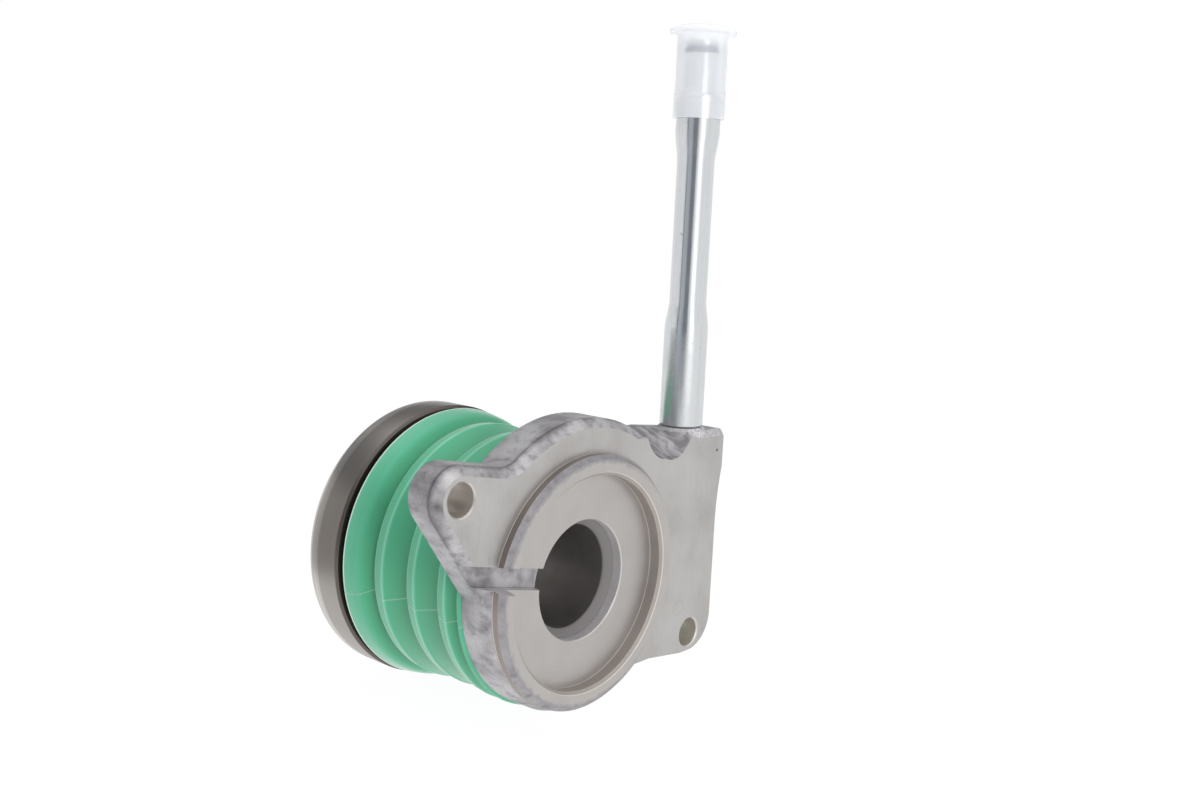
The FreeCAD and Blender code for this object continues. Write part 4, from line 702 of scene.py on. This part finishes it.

# Four greens, from painted shade deep in a fold to a painted highlight on a bead.
boot_green = boot_rubber(
    "green_boot_rubber",
    (paint(60, 152, 112), paint(78, 178, 136), paint(90, 188, 150), paint(134, 214, 184)),
)
# A painted highlight: the lip's end edge is painted pale.
boot_edge_highlight = boot_rubber("green_boot_edge_highlight", (paint(214, 234, 224),) * 4)
boot = fit(turned("bellows_boot", boot_corners, steps=256), boot_green, None, "boot_rubber", "dust_boot")
boot.data.materials.append(boot_edge_highlight)
fold_shade = boot.data.attributes.new("fold_shade", "FLOAT", "POINT")
from_seam = boot.data.attributes.new("from_seam", "FLOAT", "POINT")
# Each vertex takes its painted shade or light from its place along the bore.
for vertex in boot.data.vertices:
    x, y, z = (value / MM for value in vertex.co)
    past_seam = math.remainder(math.atan2(z, x) - SEAM, math.tau)
    fold_shade.data[vertex.index].value = knots(y, fold_shading)
    from_seam.data[vertex.index].value = past_seam * math.hypot(x, z) + knots(y, seam_rise)
# Faces on the lip's end edge take the painted highlight.
for face in boot.data.polygons:
    x, y, z = (value / MM for value in face.center)
    if math.hypot(x, z) > LIP_EDGE[0] and y > LIP_EDGE[1]:
        face.material_index = 1
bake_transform(boot)


# Release bearing
# The inner race stands still on its centring washer. The outer ring is pressed from sheet, turns on
# fifteen balls, and its flat front meets the clutch spring's fingers. A sheet sleeve holds it on.
carry_over("centring_washer", spring_steel)
carry_over("bearing_cage", Finish("cage_plastic", paint(150, 118, 78), roughness=0.5).material)
race_steel = Turned("bearing_race_steel", paint(150, 146, 141), paint(126, 122, 118), roughness=0.3)
race_corners = [
    (24.5, 66.0), (27.3, 66.0), (27.3, 55.9, 4.6), (33.1, 55.9), (33.1, 53.1), (24.5, 53.1, 7.3),
]
still_race = turned("still_race", race_corners)
fit(still_race, race_steel.material, "bearing_race", "bearing_steel", "bearing_inner_race")
ring = Turned("bearing_ring_steel", paint(170, 165, 161), paint(156, 151, 147), roughness=0.36, rings=0.5)
# Painted shade: the ring's back edge beside the boot's gap is painted dark.
ring.mark(ring.ramp(ring.along, 54.7, 54.3), paint(104, 97, 92))
# Painted reflection: a paler band towards the rounded front shoulder.
ring.mark(ring.ramp(ring.along, 61.6, 62.4, 0, 0.7), paint(212, 209, 206))
# Painted highlight: a thin light line on the shoulder.
ring_steel = ring.mark(ring.near(ring.along, 63.5, 0.25), paint(226, 221, 215)).material
ring_corners = [
    (38.5, 53.8), (39.1, 54.4), (39.1, 67.9, 4.3), (28.5, 67.9, 0.5), (28.5, 65.1), (36.5, 65.1, 4.6),
    (36.5, 53.8),
]
turning_ring = turned("turning_ring", ring_corners, steps=256)
fit(turning_ring, ring_steel, "bearing_shell", "bearing_steel", "bearing_rotating_ring")
for name, corners in (
    ("back_seal", [(33.4, 54.3), (36.5, 54.3), (36.5, 55.6), (33.4, 55.6)]),
    ("front_seal", [(27.6, 65.4), (28.5, 65.4), (28.5, 67.0), (27.6, 67.0)]),
):
    fit(turned(name, corners), seal_rubber, "bearing_shell", "seal_rubber", "bearing_" + name)

BALLS = 15
BALL_RADIUS = 4.5
BALL_CIRCLE = 31.9
BALL_PLANE = 60.5
ball_steel = Finish("polished_ball_steel", paint(205, 205, 208), metallic=1.0, roughness=0.08)
bm = bmesh.new()
for number in range(BALLS):
    turn = Matrix.Rotation(math.tau * number / BALLS, 4, "Y")
    place = turn @ Matrix.Translation(Vector((BALL_CIRCLE, BALL_PLANE, 0)) * MM)
    bmesh.ops.create_uvsphere(bm, u_segments=32, v_segments=16, radius=BALL_RADIUS * MM, matrix=place)
fit(shaped("balls", bm), ball_steel.material, "ball_set", "ball_steel", "bearing_balls")

retainer_corners = [
    (22.05, 52.03, 0.05), (22.85, 52.03, 0.2), (22.85, 66.3, 0.3), (26.0, 66.3, 0.2),
    (26.0, 67.1, 0.2), (22.05, 67.1, 1.0), (22.05, 54.35, 0.05), (21.3, 54.35, 0.05),
    (21.3, 53.25, 0.05), (22.05, 53.25, 0.05),
]
fit(turned("retainer_sleeve", retainer_corners), zinc_sheet, "piston", "zinc_steel", "bearing_retainer")


# Feed pipe
# A steel adapter turned from bar and zinc plated. It stands in the block behind a rolled pin, with a
# seal ring at each end, and its nipple takes the coupling of the clutch hose.
PIPE = (48.5, 7.4)
zinc = Finish("bright_zinc", paint(208, 211, 214), metallic=1.0, roughness=0.2)
drawn = zinc.noise((1.6, 1.6, 0.015), detail=3, rough=0.5)
mottle = zinc.noise((0.5, 0.5, 0.25), detail=3, rough=0.6)
blemish = zinc.noise((1.1, 1.1, 0.7), detail=1)
zinc_tone = zinc.blend(zinc.ramp(drawn, 0.4, 0.65, 0, 0.5), paint(212, 215, 216), paint(198, 201, 207))
zinc_tone = zinc.blend(zinc.ramp(mottle, 0.5, 0.7, 0, 0.4), zinc_tone, paint(206, 204, 212))
zinc_tone = zinc.blend(zinc.ramp(blemish, 0.75, 0.79, 0, 0.5), zinc_tone, paint(120, 124, 130))
height = zinc.add("ShaderNodeSeparateXYZ", {"Vector": zinc.spot}).outputs["Z"]
satin = zinc.ramp(height, 58, 66, 0.3, 0.19)
zinc.dress(
    colour=zinc_tone,
    roughness=zinc.math("ADD", satin, zinc.ramp(mottle, 0.35, 0.65, -0.03, 0.04)),
    normal=zinc.bump(mottle, 0.006),
)
pipe_corners = [
    (2.5, 17.5), (5.0, 17.5, 0.3), (5.0, 22.3, 0.05), (3.9, 22.3, 0.05), (3.9, 25.6, 0.05),
    (5.0, 25.6, 0.05), (5.0, 28.0, 0.05), (3.65, 28.0, 0.05), (3.65, 29.8, 0.05), (5.0, 29.8, 0.05),
    (5.0, 35.5, 0.05), (5.67, 35.5), (6.27, 36.1), (6.27, 64.7, 0.5), (5.3, 71.0, 0.5),
    (5.3, 112.0, 1.5), (6.27, 118.1, 1.5), (6.27, 128.9), (5.67, 129.5), (4.7, 129.5),
    (4.7, 140.6, 0.05), (3.45, 140.6, 0.05), (3.45, 142.6, 0.05), (4.7, 142.6, 0.05),
    (4.7, 144.0, 0.2), (3.9, 144.8, 0.2), (2.5, 144.8, 0.2),
]
pipe = turned("adapter_pipe", pipe_corners, steps=128, centre=PIPE)
fit(pipe, zinc.material, "housing", "zinc_steel", "feed_pipe")
carry_over("pipe_o_ring", seal_rubber)
carry_over("pipe_retaining_pin", spring_steel)
carry_over("oil_way_plug", ball_steel.material)


def o_ring(name, mean, cord, height, finish, slot, node):
    """A seal ring of round cord about the pipe."""
    bm = bmesh.new()
    rim = bmesh.ops.create_circle(bm, cap_ends=False, segments=20, radius=cord * MM)["verts"]
    turn = Matrix.Rotation(math.pi / 2, 4, "X")
    bmesh.ops.transform(bm, matrix=Matrix.Translation((mean * MM, 0, height * MM)) @ turn, verts=rim)
    bmesh.ops.spin(
        bm,
        geom=bm.verts[:] + bm.edges[:],
        cent=(0, 0, 0),
        axis=(0, 0, 1),
        dvec=(0, 0, 0),
        angle=math.tau,
        steps=96,
        use_merge=True,
        use_normal_flip=False,
        use_duplicate=False,
    )
    bmesh.ops.translate(bm, verts=bm.verts, vec=Vector((*PIPE, 0)) * MM)
    return fit(shaped(name, bm), finish, "housing", slot, node)


blue_rubber = black_rubber("blue_seal_rubber", paint(14, 36, 112))
o_ring("nipple_ring", 4.175, 0.675, 141.6, blue_rubber, "nipple_seal_rubber", "nipple_o_ring")


# Transit cap
# A thin translucent polythene cap, pushed over the nipple to keep dirt out until the hose goes on.
milky = Finish("milky_polythene", paint(250, 251, 253), roughness=0.5)
haze = milky.noise((0.3, 0.3, 0.12), detail=2)
milky.dress(roughness=milky.ramp(haze, 0.35, 0.65, 0.46, 0.6))
milky.set(milky.shader, {"Transmission Weight": 0.68, "IOR": 1.06})
cap_corners = [
    (0, 146.6), (6.25, 146.6, 0.4), (6.25, 131.0), (6.45, 130.4), (6.45, 122.8), (7.2, 122.8, 0.3),
    (7.2, 126.7), (7.05, 127.0), (7.2, 127.3), (7.2, 128.0), (7.05, 128.3), (7.2, 128.6),
    (7.2, 129.3), (7.05, 129.6), (7.2, 129.9), (7.2, 130.4, 0.2), (7.0, 131.0, 0.2),
    (7.0, 146.0, 0.6), (9.2, 145.7, 0.3), (9.2, 147.2, 0.4), (7.0, 147.8, 0.6), (0, 147.8),
]
cap = turned("polythene_cap", cap_corners, steps=128, centre=PIPE)
fit(cap, milky.material, "cap", "cap_polymer", "transit_cap")


# Studio
# A white floor and sky. One soft panel stands to the right of the camera and a wide one hangs
# overhead. Dark flags beside the camera and behind the unit, and a white card, draw the lines in its
# bright metal.
WHITE = (1, 1, 1, 1)
FLOOR_HEIGHT = -0.0397
FLOOR_GLOW = 1.04
FLOOR_SEEN = 0.93
FLOOR_BOUNCE = 0.9


class Screen:
    """A material that is only seen, with light of its own and no shading."""

    def __init__(self, name, strength):
        self.material = bpy.data.materials.new(name)
        self.material.use_nodes = True
        self.nodes = self.material.node_tree.nodes
        self.links = self.material.node_tree.links
        self.glow = self.nodes.new("ShaderNodeEmission")
        self.glow.inputs["Strength"].default_value = strength


def either(tree, first, second):
    """Whichever of two values is the larger."""
    node = tree.nodes.new("ShaderNodeMath")
    node.operation = "MAXIMUM"
    tree.links.new(first, node.inputs[0])
    tree.links.new(second, node.inputs[1])
    return node.outputs[0]


def is_seen(tree):
    """1 for the rays that look: the camera's own, and those off gloss and through clear pieces."""
    path = tree.nodes.new("ShaderNodeLightPath").outputs
    seen = either(tree, path["Is Camera Ray"], path["Is Glossy Ray"])
    return either(tree, seen, path["Is Transmission Ray"])


bm = bmesh.new()
bmesh.ops.create_grid(bm, x_segments=1, y_segments=1, size=6)
bmesh.ops.translate(bm, verts=bm.verts, vec=(0, 0, FLOOR_HEIGHT))
floor = shaped("floor", bm)
floor_paint = Screen("white_floor", FLOOR_GLOW)
floor_shader = floor_paint.nodes["Principled BSDF"]
floor_shader.inputs["Base Color"].default_value = (0.85, 0.85, 0.85, 1)
floor_shader.inputs["Roughness"].default_value = 0.9
share = floor_paint.nodes.new("ShaderNodeMath")
share.operation = "MULTIPLY_ADD"
share.inputs[1].default_value = FLOOR_SEEN - FLOOR_BOUNCE
share.inputs[2].default_value = FLOOR_BOUNCE
floor_paint.links.new(is_seen(floor_paint.material.node_tree), share.inputs[0])
mix = floor_paint.nodes.new("ShaderNodeMixShader")
floor_paint.links.new(share.outputs[0], mix.inputs[0])
floor_paint.links.new(floor_shader.outputs[0], mix.inputs[1])
floor_paint.links.new(floor_paint.glow.outputs[0], mix.inputs[2])
floor_paint.links.new(mix.outputs[0], floor_paint.nodes["Material Output"].inputs["Surface"])
floor.data.materials.append(floor_paint.material)


def flag(name, spot, aim, width, height, strength, colour=(0.86, 0.92, 1.0, 1)):
    """An upright panel facing the aim, which shows only in gloss."""
    bm = bmesh.new()
    bmesh.ops.create_grid(bm, x_segments=1, y_segments=1, size=0.5)
    bmesh.ops.scale(bm, vec=(width, height, 1), verts=bm.verts)
    bmesh.ops.rotate(bm, cent=(0, 0, 0), matrix=Matrix.Rotation(math.pi / 2, 3, "X"), verts=bm.verts)
    facing = math.atan2(aim[1] - spot[1], aim[0] - spot[0]) + math.pi / 2
    bmesh.ops.rotate(bm, cent=(0, 0, 0), matrix=Matrix.Rotation(facing, 3, "Z"), verts=bm.verts)
    bmesh.ops.translate(bm, verts=bm.verts, vec=spot)
    panel = shaped(name, bm)
    cloth = Screen(name + "_cloth", strength)
    cloth.glow.inputs["Color"].default_value = colour
    cloth.links.new(cloth.glow.outputs[0], cloth.nodes["Material Output"].inputs["Surface"])
    panel.data.materials.append(cloth.material)
    panel.visible_camera = False
    panel.visible_diffuse = False
    panel.visible_shadow = False
    panel.visible_transmission = False
    return panel


def around_pipe(angle, distance, height):
    """A spot seen from the pipe, at an angle to the right of the camera."""
    away = (Vector(CAMERA_SPOT) - Vector((*PIPE, 0)) * MM).to_2d().normalized()
    away = Matrix.Rotation(math.radians(angle), 2) @ away
    return (*(Vector(PIPE) * MM + away * distance), height)


CAMERA_SPOT = (-0.234597, -0.200371, 0.095262)
CAMERA_RIGHT = (0.64981, -0.75866, 0.04672)
CAMERA_UP = (0.08470, 0.13336, 0.98744)
CAMERA_BACK = (-0.75536, -0.63769, 0.15092)
view = bpy.data.cameras.new("camera")
view.sensor_width = 36.0
view.lens = 36.54
view.clip_start = 0.01
camera = bpy.data.objects.new("camera", view)
bpy.context.scene.collection.objects.link(camera)
turn = Matrix((CAMERA_RIGHT, CAMERA_UP, CAMERA_BACK)).transposed().to_4x4()
camera.matrix_world = Matrix.Translation(CAMERA_SPOT) @ turn
bpy.context.scene.camera = camera
bpy.context.scene.view_settings.view_transform = "Standard"

PIPE_SPOT = (*(Vector(PIPE) * MM), 0)
PIPE_FLAGS = ((-9, 0.15, 0.26), (-33, 0.11, 0.6), (-50, 0.05, 0.3))
FLAG_AWAY, FLAG_MIDDLE, FLAG_TALL = 0.3, 0.12, 0.32
for number, (angle, width, strength) in enumerate(PIPE_FLAGS):
    spot = around_pipe(angle, FLAG_AWAY, FLAG_MIDDLE)
    flag(f"pipe_flag_{number}", spot, PIPE_SPOT, width, FLAG_TALL, strength)
CARD_ANGLE = 29
card_spot = around_pipe(CARD_ANGLE, FLAG_AWAY, FLAG_MIDDLE)
flag("white_card", card_spot, PIPE_SPOT, 0.12, FLAG_TALL, 1.7, WHITE)
flag("back_flag", (0.62, 0.52, 0.66), (0, 0, 0), 2.2, 0.8, 0.05)
flag("left_flag", (-0.46, 0.66, 0.66), (0, 0, 0), 1.1, 0.8, 0.05)
flag("ring_flag", (-0.082, 0.094, 0.01), (-0.039, 0.058, 0), 0.08, 0.08, 0.36, (1, 0.96, 0.92, 1))

world = bpy.data.worlds.new("white_room")
bpy.context.scene.world = world
world.use_nodes = True
room = world.node_tree
room_light = room.nodes["Background"]
room_light.inputs["Color"].default_value = WHITE
towards = room.nodes.new("ShaderNodeTexCoord")
behind = room.nodes.new("ShaderNodeVectorMath")
behind.operation = "DOT_PRODUCT"
behind.inputs[1].default_value = (0.75, 0.25, -0.6)
room.links.new(towards.outputs["Generated"], behind.inputs[0])
falling = room.nodes.new("ShaderNodeMapRange")
falling.inputs["From Min"].default_value = -1
falling.inputs["To Min"].default_value = 0.27
falling.inputs["To Max"].default_value = 0.8
room.links.new(behind.outputs["Value"], falling.inputs["Value"])
room.links.new(falling.outputs["Result"], room_light.inputs["Strength"])
room_white = room.nodes.new("ShaderNodeBackground")
room_white.inputs["Color"].default_value = WHITE
mix = room.nodes.new("ShaderNodeMixShader")
room.links.new(is_seen(room), mix.inputs[0])
room.links.new(room_light.outputs[0], mix.inputs[1])
room.links.new(room_white.outputs[0], mix.inputs[2])
room.links.new(mix.outputs[0], room.nodes["World Output"].inputs["Surface"])


def soft_lamp(name, spot, aim, size, power):
    """A square panel of light at the spot, facing the aim and not mirrored in gloss."""
    panel = bpy.data.lights.new(name, "AREA")
    panel.shape = "SQUARE"
    panel.size = size
    panel.energy = power
    lamp = bpy.data.objects.new(name, panel)
    bpy.context.scene.collection.objects.link(lamp)
    lamp.location = spot
    lamp.rotation_euler = (Vector(aim) - Vector(spot)).to_track_quat("-Z", "Y").to_euler()
    lamp.visible_glossy = False
    return lamp


soft_lamp("side_panel", around_pipe(33, 0.8, 0.24), (*PIPE_SPOT[:2], 0.1), 0.4, 2.2)
soft_lamp("top_panel", (-0.15, 0.1, 0.9), (0, 0, 0.03), 0.8, 4.5)
